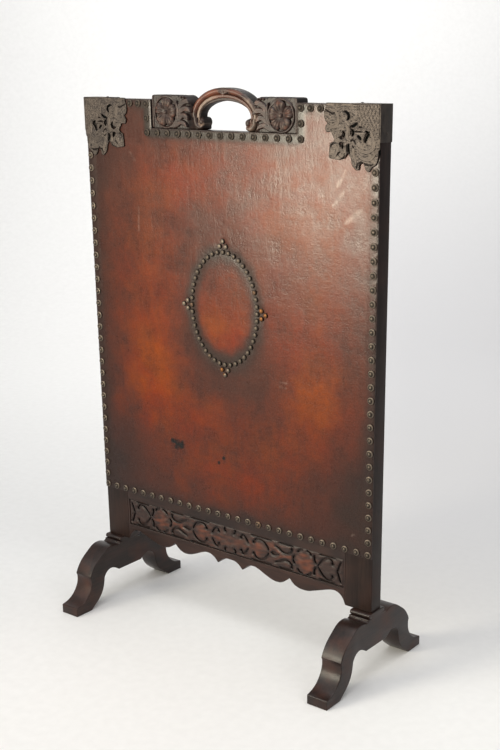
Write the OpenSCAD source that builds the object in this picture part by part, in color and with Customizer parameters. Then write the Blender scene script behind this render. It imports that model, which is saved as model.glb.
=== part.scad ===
// Fire screen: a studded leather panel in an oak frame, on two scrolled feet.
// The origin is on the floor, midway between the feet. The leather faces -Y.

/* [Frame] */
// Width over the two stiles
frame_w = 600; // [560:5:700]
// Height of the stiles above the feet
stile_h = 797.5; // [700:2.5:900]
// Thickness of the stiles and rails
frame_t = 28; // [24:0.5:36]
// Width of each stile
stile_w = 52.5; // [46:0.5:64]
// Height of the top rail
top_rail_h = 82; // [74:1:100]
// Height of the bottom rail, from the foot of the stiles
bottom_rail_h = 125; // [118:1:150]
// Length of the tenons on the rails
rail_tenon_l = 30; // [22:1:36]
// Thickness of the tenons on the rails
rail_tenon_t = 10; // [8:0.5:12]
// Shoulder above and below each rail tenon
tenon_shoulder = 14; // [10:1:20]
// Diameter of the pegs through the joints
peg_d = 8; // [6:0.5:10]
// Length of the pegs
peg_l = 22.5; // [16:0.5:23]
// Gap round each tenon and dowel
fit_gap = 0.2; // [0.1:0.05:0.3]

/* [Panel] */
// Thickness of the board behind the leather
panel_t = 12; // [11:0.5:16]
// Thickness of the tongue round the board
tongue_t = 6; // [5:0.5:7]
// Width of the tongue round the board
tongue_l = 8; // [6:0.5:10]

/* [Apron] */
// Height of the scallops in the lower edge
apron_rise = 20.5; // [12:0.5:24]

/* [Fret] */
// Wood left between the pierced band and each stile
fret_margin = 4; // [2:0.5:12]
// Height of the pierced band
fret_h = 50; // [46:0.5:56]
// Thickness of the pierced band
fret_t = 4; // [3:0.5:6]
// Height of its centre line above the foot of the stiles
fret_z = 55.3; // [52:0.5:62]
// Width of the saw cuts
fret_cut = 2.8; // [2:0.1:3.5]

/* [Leather] */
// Thickness of the leather
leather_t = 2; // [1.5:0.1:3]
// Height of its lower edge above the foot of the stiles
leather_z = 95; // [90:1:110]
// Width of the tooled band along the edges
band_w = 15; // [13:0.5:18]
// Thickness of the tooled band
band_t = 0.8; // [0.5:0.1:1.5]

/* [Studs] */
// Diameter of the edge studs
stud_d = 12; // [9:0.5:13]
// Height of the edge studs
stud_h = 3.6; // [2.5:0.1:5]
// Spacing of the studs across the panel
stud_pitch_across = 22.4; // [19:0.1:26]
// Spacing of the studs up the panel
stud_pitch_up = 21.5; // [19:0.1:26]
// Leather left between the edge studs and the edge
stud_margin = 1; // [0.5:0.1:2]
// Leather left between the crest and the studs round it
crest_stud_margin = 3; // [1:0.5:3]
// Diameter of the small studs round the middle
small_stud_d = 8.4; // [6:0.2:9]
// Height of the small studs
small_stud_h = 2.6; // [1.8:0.1:3.5]
// Width of the oval of small studs
oval_w = 140; // [100:2:180]
// Height of the oval of small studs
oval_h = 188; // [140:2:240]
// Height of its centre above the foot of the stiles
oval_z = 468; // [400:2:520]
// Studs in the oval
oval_count = 44; // [32:4:48]
// Distance from the oval to the pair of studs outside it, at its top, bottom and sides
pair_out = 9; // [8.5:0.5:12]
// Spacing of that pair
pair_w = 13; // [10:0.5:15]
// Distance from the oval to the stud outside the pair
tip_out = 17.5; // [16:0.5:22]

/* [Crest] */
// Width of the carved crest
crest_w = 298; // [290:1:320]
// Depth of the notch that holds the crest
notch_h = 45.5; // [40:0.5:50]
// Height of the end blocks of the crest
block_h = 53; // [48:0.5:60]
// Thickness of the crest behind its carving
crest_t = 16; // [12:0.5:18]
// Height of the carving
carving_t = 6; // [4:0.5:8]
// Half width of the handle, outside
handle_a = 68; // [60:1:72]
// Height of the handle above the notch, outside
handle_h = 65.5; // [58:0.5:72]
// Half width of the hand hole
hole_a = 52; // [46:1:54]
// Height of the hand hole
hole_h = 45.5; // [38:0.5:48]
// Height above the notch at which the handle springs
spring_z = 21; // [16:0.5:26]
// Width of the round moulding along the outside of the handle
bead_w = 12; // [10:0.5:13]
// Width of the narrow fillet round the hand hole
hole_fillet = 3; // [2:0.5:4]
// Radius of the volutes at the feet of the handle
volute_r = 8; // [6:0.5:9]
// Height of their centres above the notch
volute_z = 12; // [10:0.5:14]
// Distance from the end of the crest to the middle of each rosette
rosette_inset = 31; // [29:0.5:34]
// Height of the rosettes above the notch
rosette_z = 27; // [26:0.5:29]
// Radius of the ring round each rosette
ring_r = 21; // [18:0.5:22]
// Thickness of that ring
ring_t = 5.4; // [4:0.2:6]
// Petals of each rosette
petals = 5; // [4:1:8]
// Diameter of the ball that each petal is part of
petal_d = 17; // [14:0.5:18]
// How far its centre lies behind the carved ground
petal_sink = 4.5; // [3.5:0.5:6]
// Diameter of the ball in the middle of each rosette
eye_d = 12; // [9:0.5:13]
// Width of the lobes of the carved leaves
leaf_w = 7; // [5:0.5:8]
// Height of the carved leaves
leaf_t = 4.5; // [3:0.5:5.5]
// Diameter of the dowels under the crest
dowel_d = 8; // [6:0.5:10]
// Length of the dowels
dowel_l = 36; // [24:1:40]
// Distance from the end of the crest to the outer dowel
dowel_inset = 16; // [12:1:24]
// Distance between the two dowels of each end
dowel_spacing = 49; // [36:1:52]

/* [Corner mounts] */
// Width of each mount across the front
mount_w = 100; // [90:1:110]
// Height of each mount down the front
mount_h = 96; // [88:1:105]
// Thickness of the brass
mount_t = 1.5; // [1:0.1:2]
// Height of the raised scrolls
relief_t = 1.2; // [0.6:0.1:2]
// Length of the plain flanges over the top and side
flange_l = 48; // [40:1:60]
// Width of the slots pierced in the front
slot_w = 3.4; // [2.4:0.2:4]
// Width of the raised scrolls
scroll_w = 4; // [3:0.2:5]
// Diameter of the pins
pin_d = 6; // [4:0.5:7]

/* [Feet] */
// Length of each foot, front to back
foot_l = 283.6; // [240:0.4:320]
// Width of each foot
foot_w = 39.3; // [34:0.1:44]
// Height of the seat of the stile
foot_h = 120; // [112:1:130]
// How far the seat stands out past the stile, front and back
seat_ledge = 5; // [3:0.5:8]
// Radius of the nosing round the seat
nosing_r = 4; // [3:0.5:5]
// Height of the toes
toe_h = 17; // [14:0.5:20]
// Length of the toe pads on the floor
toe_l = 36.8; // [30:0.4:44]
// Radius of the rounded top edge of the toes
toe_r = 2.5; // [1:0.5:5]
// How far each foot stands out past the stile
foot_proud = 2.6; // [0:0.1:5]
// Height of the hollow under each foot
hollow_h = 58; // [50:1:60]
// Length of the tenon into the foot
foot_tenon_l = 40; // [30:1:44]
// Thickness of the tenon into the foot, front to back
foot_tenon_t = 16; // [12:1:18]
// Width of the tenon into the foot, side to side
foot_tenon_w = 23.5; // [18:0.5:25]
// Wood left outside that tenon
foot_tenon_shoulder = 4; // [3:0.5:6]
// Diameter of the screw up through each foot
screw_d = 6; // [5:0.5:7]
// How far the screw reaches into the tenon
screw_reach = 25; // [16:1:34]

/* [Hidden] */
$fn = 48;
eps = 0.01;

wood_colour = "#33261f";
fret_colour = "#6b3f2a";
leather_colour = "#8a4a2c";
band_colour = "#3f332c";
stud_colour = "#5b554b";
brass_colour = "#77705c";

// Places on the frame
half_w = frame_w / 2;
opening_w = frame_w - 2 * stile_w;
half_opening = opening_w / 2;
frame_front = -frame_t / 2;
frame_back = frame_t / 2;
stile_z = foot_h;
frame_top = stile_z + stile_h;
top_rail_z = frame_top - top_rail_h;
bottom_rail_top = stile_z + bottom_rail_h;
notch_z = frame_top - notch_h;
leather_front_y = frame_front - leather_t;
band_front_y = leather_front_y - band_t;
leather_bottom = stile_z + leather_z;
mount_out_x = half_w + mount_t;
mount_top = frame_top + mount_t;
mount_in_x = mount_out_x - mount_w;
mount_low = mount_top - mount_h;
mount_front_y = band_front_y - mount_t;

// Steps along a curve between two of its points
curve_steps = 4;

// A point on the curve through b and c, with a and d on either side
function curve_point(a, b, c, d, t) =
    0.5 * (2 * b + (c - a) * t + (2 * a - 5 * b + 4 * c - d) * t * t
    + (3 * b - a - 3 * c + d) * t * t * t);

// A smooth curve through all the points
function curve(p, steps = curve_steps) = concat(
    [for (i = [0 : len(p) - 2], k = [0 : steps - 1])
        curve_point(p[max(i - 1, 0)], p[i], p[i + 1], p[min(i + 2, len(p) - 1)], k / steps)],
    [p[len(p) - 1]]);

function reversed(p) = [for (i = [len(p) - 1 : -1 : 0]) p[i]];

function mirrored(p) = [for (q = reversed(p)) [-q[0], q[1]]];

function arc(centre, r, from, to, steps) =
    [for (i = [0 : steps]) let (t = from + (to - from) * i / steps) centre + r * [cos(t), sin(t)]];

function ellipse(a, b, from, to, steps) =
    [for (i = [0 : steps]) let (t = from + (to - from) * i / steps) [a * cos(t), b * sin(t)]];

function unit(v) = v / norm(v);

// The left-hand normal of a curve at its point i
function normal(p, i) =
    let (d = unit(p[min(i + 1, len(p) - 1)] - p[max(i - 1, 0)])) [-d[1], d[0]];

// The half width of a stroke, full in its middle and narrow at its ends
function taper(t, tip) = tip + (1 - tip) * min(1, 5 * t, 5 * (1 - t));

// The outline of a stroke along a curve
function stroke(p, w, tip) = let (n = len(p) - 1) concat(
    [for (i = [0 : n]) p[i] + normal(p, i) * w / 2 * taper(i / n, tip)],
    [for (i = [n : -1 : 0]) p[i] - normal(p, i) * w / 2 * taper(i / n, tip)]);

// An outline in X and Z, extruded from y0 to y1
module upright(y0, y1) {
    translate([0, y1, 0]) rotate([90, 0, 0]) linear_extrude(y1 - y0) children();
}

// A block between two corners
module block(low, high) {
    translate(low) cube(high - low);
}

module both_sides() {
    children();
    mirror([1, 0, 0]) children();
}

/* Frame joints */

tenon_top_low = top_rail_z + tenon_shoulder;
tenon_top_high = frame_top - tenon_shoulder;
tenon_bottom_low = stile_z + tenon_shoulder + apron_rise / 2;
tenon_bottom_high = bottom_rail_top - tenon_shoulder;
peg_inset = rail_tenon_l / 2;
tenon_pegs = [
    tenon_top_low + (tenon_top_high - tenon_top_low) / 4,
    tenon_top_high - (tenon_top_high - tenon_top_low) / 4,
    tenon_bottom_low + (tenon_bottom_high - tenon_bottom_low) / 4,
    tenon_bottom_high - (tenon_bottom_high - tenon_bottom_low) / 4
];

// The tenon on a rail's right end, or the mortise for it when gap is above zero
module rail_tenon(low, high, gap) {
    block([half_opening - eps, -rail_tenon_t / 2 - gap, low - gap],
        [half_opening + rail_tenon_l + gap, rail_tenon_t / 2 + gap, high + gap]);
}

// One peg, driven in from the back
module peg(z, d, length) {
    translate([half_opening + peg_inset, frame_back, z])
        rotate([90, 0, 0]) cylinder(d = d, h = length);
}

/* Feet */

foot_out_x = half_w + foot_proud;
foot_in_x = foot_out_x - foot_w;
foot_mid_x = (foot_out_x + foot_in_x) / 2;
seat_y = frame_t / 2 + seat_ledge;
half_foot = foot_l / 2;
foot_tenon_x = min(foot_mid_x, half_w - foot_tenon_w / 2 - foot_tenon_shoulder);

// A point of the foot between the seat and the toe: u runs 0 to 1, v is up from the toe
function foot_point(u, v) = [seat_y + u * (half_foot - seat_y), toe_h + v * (foot_h - toe_h)];

// A point of the hollow between its middle and the heel
function hollow_point(u, v) = [u * (half_foot - toe_l), v * hollow_h];

nosing = arc([seat_y, foot_h - nosing_r], nosing_r, 90, -90, 8);
nosing_low = foot_h - 2 * nosing_r;
// The small step between the nosing and the knee
quirk = 3;
fillet = [
    [seat_y + quirk, nosing_low],
    [seat_y + 2 * quirk, nosing_low],
    [seat_y + 2 * quirk, nosing_low - quirk]
];
knee = curve([
    foot_point(0.09, 0.875), foot_point(0.16, 0.908), foot_point(0.25, 0.914), foot_point(0.34, 0.885),
    foot_point(0.46, 0.79), foot_point(0.57, 0.685), foot_point(0.65, 0.56), foot_point(0.685, 0.475)
]);
sweep = curve([
    foot_point(0.668, 0.43), foot_point(0.67, 0.34), foot_point(0.69, 0.255), foot_point(0.735, 0.165),
    foot_point(0.80, 0.085), foot_point(0.88, 0.03), foot_point(0.97, 0)
]);
toe_round = arc([half_foot - toe_r, toe_h - toe_r], toe_r, 90, 0, 4);
heel = curve([
    hollow_point(1, 0), hollow_point(0.94, 0.085), hollow_point(0.84, 0.225), hollow_point(0.75, 0.39),
    hollow_point(0.685, 0.6), hollow_point(0.65, 0.87)
]);
arch = curve([
    hollow_point(0.645, 0.94), hollow_point(0.6, 1.06), hollow_point(0.53, 1.14), hollow_point(0.45, 1.155),
    hollow_point(0.37, 1.1), hollow_point(0.28, 1)
]);
foot_half = concat(nosing, fillet, knee, sweep, toe_round, [[half_foot, 0]], heel, arch);
foot_outline = concat(foot_half, mirrored(foot_half));

module foot_tenon(gap) {
    block([foot_tenon_x - foot_tenon_w / 2 - gap, -foot_tenon_t / 2 - gap, foot_h - foot_tenon_l - gap],
        [foot_tenon_x + foot_tenon_w / 2 + gap, foot_tenon_t / 2 + gap, foot_h + eps]);
}

screw_head_d = 2 * screw_d;
screw_head_h = screw_d / 2;
screw_l = foot_h - foot_tenon_l + screw_reach - hollow_h;

// The countersunk screw up into the tenon
module foot_screw(gap) {
    translate([foot_tenon_x, 0, hollow_h]) {
        cylinder(d1 = screw_head_d + 2 * gap, d2 = screw_d + 2 * gap, h = screw_head_h);
        cylinder(d = screw_d + 2 * gap, h = screw_l + gap);
    }
}

module right_foot() {
    color(wood_colour) difference() {
        translate([foot_in_x, 0, 0]) rotate([90, 0, 90]) linear_extrude(foot_w) polygon(foot_outline);
        foot_tenon(fit_gap);
        foot_screw(fit_gap);
    }
}

module foot_left() { mirror([1, 0, 0]) right_foot(); }
module foot_right() { right_foot(); }

module foot_screws() {
    color(stud_colour) both_sides() foot_screw(0);
}

/* Stiles and rails */

module right_stile() {
    color(wood_colour) difference() {
        union() {
            block([half_opening, frame_front, stile_z], [half_w, frame_back, frame_top]);
            foot_tenon(0);
        }
        block([half_opening - eps, frame_front + tongue_in - fit_gap, bottom_rail_top - tongue_l - fit_gap],
            [half_opening + tongue_l + fit_gap, frame_front + tongue_in + tongue_t + fit_gap,
            top_rail_z + tongue_l + fit_gap]);
        rail_tenon(tenon_top_low, tenon_top_high, fit_gap);
        rail_tenon(tenon_bottom_low, tenon_bottom_high, fit_gap);
        for (z = tenon_pegs) peg(z, peg_d + 2 * fit_gap, peg_l + fit_gap);
        foot_screw(fit_gap);
    }
}

module stile_left() { mirror([1, 0, 0]) right_stile(); }
module stile_right() { right_stile(); }

// The panel's tongue sits this far behind the front of the frame
tongue_in = (panel_t - tongue_t) / 2;

// The groove along a rail's inner edge
module rail_groove(z0, z1) {
    block([-half_opening - eps, frame_front + tongue_in - fit_gap, z0],
        [half_opening + eps, frame_front + tongue_in + tongue_t + fit_gap, z1]);
}

module top_rail() {
    color(wood_colour) difference() {
        union() {
            block([-half_opening, frame_front, top_rail_z], [half_opening, frame_back, frame_top]);
            both_sides() rail_tenon(tenon_top_low, tenon_top_high, 0);
        }
        block([-crest_w / 2 - fit_gap, frame_front - 1, notch_z],
            [crest_w / 2 + fit_gap, frame_back + 1, frame_top + 1]);
        rail_groove(top_rail_z - 1, top_rail_z + tongue_l + fit_gap);
        both_sides() for (z = [tenon_pegs[0], tenon_pegs[1]]) peg(z, peg_d + 2 * fit_gap, peg_l + fit_gap);
        dowel_holes();
    }
}

// A point of the scallops: u runs from the middle to the stile, v is up from its foot
function apron_point(u, v) = [u * half_opening, stile_z + v * apron_rise];

middle_scallop = curve([
    apron_point(0, 0.927), apron_point(0.04, 0.9), apron_point(0.077, 0.7), apron_point(0.111, 0.317)
]);
inner_scallop = curve([
    apron_point(0.118, 0.34), apron_point(0.145, 0.66), apron_point(0.178, 0.9), apron_point(0.214, 0.956),
    apron_point(0.25, 0.88), apron_point(0.34, 0.415), apron_point(0.388, 0.235), apron_point(0.432, 0.19),
    apron_point(0.469, 0.3), apron_point(0.501, 0.54), apron_point(0.533, 0.907)
]);
outer_scallop = curve([
    apron_point(0.554, 0.61), apron_point(0.578, 0.39), apron_point(0.61, 0.245), apron_point(0.65, 0.19),
    apron_point(0.695, 0.235), apron_point(0.743, 0.415), apron_point(0.8, 0.654), apron_point(0.848, 0.854),
    apron_point(0.889, 0.985), apron_point(0.921, 1), apron_point(0.949, 0.888), apron_point(0.972, 0.66),
    apron_point(0.988, 0.366), apron_point(1, 0)
]);
apron_half = concat(middle_scallop, inner_scallop, outer_scallop);
apron_outline = concat(
    apron_half, [[half_opening, bottom_rail_top], [-half_opening, bottom_rail_top]],
    mirrored([for (i = [1 : len(apron_half) - 1]) apron_half[i]]));

fret_w = opening_w - 2 * fret_margin;
fret_low = stile_z + fret_z - fret_h / 2;
fret_high = fret_low + fret_h;

module bottom_rail() {
    color(wood_colour) difference() {
        union() {
            upright(frame_front, frame_back) polygon(apron_outline);
            both_sides() rail_tenon(tenon_bottom_low, tenon_bottom_high, 0);
        }
        block([-fret_w / 2 - fit_gap, frame_front - 1, fret_low - fit_gap],
            [fret_w / 2 + fit_gap, frame_front + fret_t, fret_high + fit_gap]);
        rail_groove(bottom_rail_top - tongue_l - fit_gap, bottom_rail_top + 1);
        both_sides() for (z = [tenon_pegs[2], tenon_pegs[3]]) peg(z, peg_d + 2 * fit_gap, peg_l + fit_gap);
    }
}

module joint_pegs() {
    color(wood_colour) both_sides() for (z = tenon_pegs) peg(z, peg_d, peg_l);
}

module panel_board() {
    body_x = half_opening - fit_gap;
    body_low = bottom_rail_top + fit_gap;
    body_high = top_rail_z - fit_gap;
    color(wood_colour) union() {
        block([-body_x, frame_front, body_low], [body_x, frame_front + panel_t, body_high]);
        block([-half_opening - tongue_l, frame_front + tongue_in, bottom_rail_top - tongue_l],
            [half_opening + tongue_l, frame_front + tongue_in + tongue_t, top_rail_z + tongue_l]);
    }
}

/* Pierced band */

// Places on the band: u runs from the middle to the end, v from the middle to the edge
function fret_point(u, v) = [u * fret_w / 2, v * fret_h / 2];

// Each saw cut is a curve: it is made in the four quarters of the band
fret_cuts = [
    [fret_point(0.98, 0.74), fret_point(0.967, 0.5), fret_point(0.955, 0.16), fret_point(0.945, 0.02)],
    [fret_point(0.785, 0.03), fret_point(0.81, 0.36), fret_point(0.84, 0.66), fret_point(0.875, 0.78),
        fret_point(0.9, 0.68), fret_point(0.91, 0.46)],
    [fret_point(0.755, 0.62), fret_point(0.757, 0.34), fret_point(0.772, 0.12)],
    [fret_point(0.69, 0.88), fret_point(0.715, 0.8), fret_point(0.73, 0.62)],
    [fret_point(0.61, 0.6), fret_point(0.63, 0.8), fret_point(0.655, 0.88)],
    [fret_point(0.588, 0.3), fret_point(0.576, 0.17), fret_point(0.573, 0.02)],
    [fret_point(0.415, 0.6), fret_point(0.45, 0.47), fret_point(0.49, 0.28), fret_point(0.53, 0.28),
        fret_point(0.558, 0.46), fret_point(0.562, 0.66)],
    [fret_point(0.222, 0.42), fret_point(0.24, 0.66), fret_point(0.275, 0.74), fret_point(0.315, 0.62),
        fret_point(0.345, 0.32), fret_point(0.355, 0.08)],
    [fret_point(0.105, 0.48), fret_point(0.12, 0.7), fret_point(0.14, 0.62), fret_point(0.158, 0.4),
        fret_point(0.17, 0.2)],
    [fret_point(0.045, 0.9), fret_point(0.05, 0.72), fret_point(0.035, 0.56)],
    [fret_point(0.2, 0.9), fret_point(0.28, 0.92), fret_point(0.38, 0.9)],
    [fret_point(0.45, 0.9), fret_point(0.5, 0.92), fret_point(0.57, 0.9)],
    [fret_point(0.8, 0.9), fret_point(0.86, 0.92), fret_point(0.93, 0.9)]
];

// Drilled holes at the ends of the scrolls
fret_holes = [
    fret_point(0.91, 0.46), fret_point(0.562, 0.66), fret_point(0.222, 0.42), fret_point(0.105, 0.48),
    fret_point(0.755, 0.62)
];

module fret_quarter() {
    for (cut = fret_cuts) polygon(stroke(curve(cut, 3), fret_cut, 0.35));
    for (hole = fret_holes) translate(hole) circle(d = fret_cut * 1.7);
}

module fret_half() {
    fret_quarter();
    mirror([0, 1]) fret_quarter();
    polygon(concat(
        curve([fret_point(0.375, 0), fret_point(0.4, 0.13), fret_point(0.45, 0)], 3),
        reversed(curve([fret_point(0.375, 0), fret_point(0.4, -0.13), fret_point(0.45, 0)], 3))));
}

module fret_panel() {
    color(fret_colour) translate([0, 0, stile_z + fret_z]) upright(frame_front, frame_front + fret_t)
        difference() {
            translate([-fret_w / 2, -fret_h / 2]) square([fret_w, fret_h]);
            fret_half();
            mirror([1, 0]) fret_half();
        }
}

/* Leather */

// The outline of the leather, drawn in by the same margin all round
module leather_outline(inset) {
    notch_half = crest_w / 2 + fit_gap + inset;
    difference() {
        translate([-half_w + inset, leather_bottom + inset])
            square([frame_w - 2 * inset, frame_top - leather_bottom - 2 * inset]);
        translate([-notch_half, notch_z - inset]) square([2 * notch_half, notch_h + inset + 1]);
    }
}

module leather_front() {
    color(leather_colour) upright(leather_front_y, frame_front) leather_outline(0);
}

module leather_banding() {
    color(band_colour) upright(band_front_y, leather_front_y) difference() {
        leather_outline(0);
        leather_outline(band_w);
    }
}

/* Studs */

// A domed stud with a rolled rim, its back at y = 0
module stud(d, h) {
    rotate([90, 0, 0]) rotate_extrude($fn = 24) polygon([
        [0, 0], [d * 0.5, 0], [d * 0.5, h * 0.25], [d * 0.44, h * 0.38], [d * 0.37, h * 0.2],
        [d * 0.32, h * 0.3], [d * 0.28, h * 0.65], [d * 0.16, h * 0.93], [0, h]
    ]);
}

// A row of studs between two places on the band, the first one left out if skip is 1
module stud_row(from, to, pitch, skip = 0) {
    steps = round(norm(to - from) / pitch);
    for (i = [skip : 1 : steps]) let (place = from + (to - from) * i / steps)
        translate([place[0], band_front_y, place[1]]) stud(stud_d, stud_h);
}

stud_inset = stud_d / 2 + stud_margin;
stud_x = half_w - stud_inset;
stud_low = leather_bottom + stud_inset;
crest_stud_x = crest_w / 2 + fit_gap + stud_d / 2 + crest_stud_margin;
crest_stud_low = notch_z - stud_inset;
crest_stud_high = frame_top - stud_inset;
last_stud_x = mount_in_x - stud_inset;

// The row up one edge, from the corner stud of the bottom row to the mount
module side_studs(x) {
    color(stud_colour) stud_row([x, stud_low], [x, mount_low], stud_pitch_up, 1);
}

module studs_left() { side_studs(-stud_x); }
module studs_right() { side_studs(stud_x); }

module studs_bottom() {
    color(stud_colour) stud_row([-stud_x, stud_low], [stud_x, stud_low], stud_pitch_across);
}

module studs_crest() {
    color(stud_colour) {
        stud_row([-crest_stud_x, crest_stud_low], [crest_stud_x, crest_stud_low], stud_pitch_across);
        both_sides() {
            stud_row([crest_stud_x, crest_stud_low], [crest_stud_x, crest_stud_high], stud_pitch_up, 1);
            stud_row([crest_stud_x, crest_stud_high], [last_stud_x, crest_stud_high], stud_pitch_across, 1);
        }
    }
}

// A small stud at a place measured from the middle of the oval
module small_stud(place) {
    translate([place[0], leather_front_y, stile_z + oval_z + place[1]]) stud(small_stud_d, small_stud_h);
}

// A point of the oval, at an angle from its top
function oval_at(angle) = [oval_w / 2 * sin(angle), oval_h / 2 * cos(angle)];

// The length along the oval up to each whole degree
oval_lengths = [for (i = 0, s = 0; i <= 360; s = s + norm(oval_at(i + 1) - oval_at(i)), i = i + 1) [s, i]];
oval_length = oval_lengths[360][0];

module medallion_studs() {
    color(stud_colour) for (i = [0 : oval_count - 1])
        small_stud(oval_at(lookup(oval_length * i / oval_count, oval_lengths)));
}

// Three studs set as an arrowhead outside the oval, at its top, bottom and sides
module medallion_clusters() {
    color(stud_colour) for (s = [-1, 1]) {
        for (u = [-pair_w / 2, pair_w / 2]) {
            small_stud([s * (oval_w / 2 + pair_out), u]);
            small_stud([u, s * (oval_h / 2 + pair_out)]);
        }
        small_stud([s * (oval_w / 2 + tip_out), 0]);
        small_stud([0, s * (oval_h / 2 + tip_out)]);
    }
}

/* Crest */

crest_ground = frame_back - crest_t;
crest_face = crest_ground - carving_t;
half_crest = crest_w / 2;
rosette_x = half_crest - rosette_inset;
volute_x = hole_a - volute_r / 4;
leaf_x = handle_a + (rosette_x - ring_r - handle_a) / 2;

function handle_curve(a, h, steps) =
    [for (p = ellipse(a, h - spring_z, 0, 180, steps)) p + [0, spring_z]];

// A half ring of the handle, drawn in from its outer and its inner edge
module handle_ring(outer, inner) {
    outer_a = handle_a - outer;
    inner_a = hole_a + inner;
    polygon(concat(
        [[outer_a, 0]], handle_curve(outer_a, handle_h - outer, 40), [[-outer_a, 0]],
        [[-inner_a, 0]], reversed(handle_curve(inner_a, hole_h + inner, 40)), [[inner_a, 0]]));
}

// The outline of one end block, with a round shoulder beside the handle
module end_block() {
    ring_edge = ring_r + ring_t;
    shoulder_r = (rosette_x - ring_edge - handle_a) / 2 + ring_t;
    translate([handle_a - bead_w / 2, 0])
        square([half_crest - handle_a + bead_w / 2, block_h - shoulder_r]);
    translate([rosette_x - ring_edge, 0]) square([half_crest - rosette_x + ring_edge, block_h]);
    translate([leaf_x, block_h - shoulder_r]) circle(r = shoulder_r);
}

// A ring with a flower of round petals inside it
module rosette() {
    translate([rosette_x, crest_ground, rosette_z]) {
        rotate([90, 0, 0]) rotate_extrude() translate([ring_r, 0]) circle(d = ring_t, $fn = 16);
        for (i = [0 : petals - 1]) rotate([0, 90 + i * 360 / petals, 0])
            translate([ring_r / 2, petal_sink, 0]) sphere(d = petal_d);
        translate([0, 1, 0]) sphere(d = eye_d);
    }
}

// A place on the carved leaf: u is along the crest from the leaf's stem, v is up to the top of the block
function leaf_point(u, v) = [leaf_x + u * leaf_w, v * block_h];

leaf_lobes = [
    [leaf_point(-0.57, 0.06), leaf_point(0.43, 0.3), leaf_point(-0.14, 0.57), leaf_point(0.43, 0.81)],
    [leaf_point(0.29, 0.57), leaf_point(1.14, 0.72), leaf_point(1, 0.89)],
    [leaf_point(0, 0.34), leaf_point(1, 0.15), leaf_point(2.29, 0.06)]
];

// A leaf of curled lobes between the ring and the handle
module crest_leaf() {
    upright(crest_ground - leaf_t, crest_ground + eps)
        for (i = [0 : 2]) polygon(stroke(curve(leaf_lobes[i]), i == 0 ? leaf_w : leaf_w * 0.7, 0.3));
}

module crest_handle() {
    color(wood_colour) translate([0, 0, notch_z]) difference() {
        union() {
            upright(crest_ground, frame_back) {
                handle_ring(0, 0);
                end_block();
                mirror([1, 0]) end_block();
            }
            // The round moulding, in three steps, and the fillet that curls into the volutes
            for (step = [[0.1, 0.5], [0.25, 0.8], [0.4, 1]])
                upright(crest_ground - carving_t * step[1], crest_ground + eps)
                    handle_ring(bead_w * step[0], handle_a - hole_a - bead_w * (1 - step[0]));
            upright(crest_ground - carving_t / 2, crest_ground + eps) difference() {
                handle_ring(handle_a - hole_a - hole_fillet, 0.4);
                translate([-handle_a, -1]) square([2 * handle_a, volute_z + 1]);
            }
            both_sides() {
                upright(crest_face, frame_back) translate([volute_x, volute_z]) circle(r = volute_r);
                upright(crest_ground, frame_back) translate([volute_x - volute_r * 0.75, 0])
                    square([volute_r * 1.5, volute_z]);
                rosette();
                crest_leaf();
            }
        }
        translate([0, 0, -notch_z]) dowel_holes();
    }
}

// The dowels of one end, or the holes for them when end_gap is above zero
module dowel(d, end_gap) {
    outer_x = half_crest - dowel_inset;
    for (x = [outer_x, outer_x - dowel_spacing])
        translate([x, (crest_ground + frame_back) / 2, notch_z - dowel_l / 2 - end_gap])
            cylinder(d = d, h = dowel_l + 2 * end_gap);
}

module dowel_holes() {
    both_sides() dowel(dowel_d + 2 * fit_gap, fit_gap);
}

module crest_dowels() {
    color(wood_colour) both_sides() dowel(dowel_d, 0);
}

/* Corner mounts */

// Places on a mount: u runs in from the side, v runs down from the top
function mount_point(u, v) = [mount_out_x - u * mount_w, mount_top - v * mount_h];

mount_outline = concat(
    [mount_point(0, 0), mount_point(0.97, 0)],
    curve([
        mount_point(0.97, 0.06), mount_point(1, 0.15), mount_point(0.985, 0.25), mount_point(0.94, 0.3),
        mount_point(0.975, 0.36), mount_point(0.955, 0.43), mount_point(0.87, 0.43)
    ]),
    curve([mount_point(0.85, 0.47), mount_point(0.81, 0.53), mount_point(0.83, 0.57), mount_point(0.89, 0.6)]),
    [mount_point(0.91, 0.82)],
    curve([
        mount_point(0.84, 0.83), mount_point(0.72, 0.84), mount_point(0.62, 0.81), mount_point(0.57, 0.74),
        mount_point(0.54, 0.76)
    ]),
    curve([
        mount_point(0.51, 0.82), mount_point(0.49, 0.91), mount_point(0.42, 0.98), mount_point(0.36, 0.97),
        mount_point(0.35, 0.9), mount_point(0.29, 0.87)
    ]),
    curve([mount_point(0.25, 0.97), mount_point(0.19, 1), mount_point(0.13, 0.93), mount_point(0.06, 0.88),
        mount_point(0.03, 0.78), mount_point(0.025, 0.68)]),
    [mount_point(0, 0.66)]);

// Pierced slots between the scrolls
mount_slots = [
    [mount_point(0.63, 0.12), mount_point(0.57, 0.15), mount_point(0.55, 0.2), mount_point(0.58, 0.25)],
    [mount_point(0.4, 0.29), mount_point(0.46, 0.33), mount_point(0.51, 0.34)],
    [mount_point(0.5, 0.38), mount_point(0.47, 0.42), mount_point(0.49, 0.48)],
    [mount_point(0.26, 0.4), mount_point(0.2, 0.44), mount_point(0.24, 0.5), mount_point(0.26, 0.57)],
    [mount_point(0.4, 0.47), mount_point(0.36, 0.5), mount_point(0.34, 0.53)],
    [mount_point(0.7, 0.52), mount_point(0.65, 0.5), mount_point(0.635, 0.45), mount_point(0.66, 0.41)],
    [mount_point(0.55, 0.6), mount_point(0.56, 0.66), mount_point(0.535, 0.74)],
    [mount_point(0.72, 0.61), mount_point(0.67, 0.6), mount_point(0.66, 0.67)]
];

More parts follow.
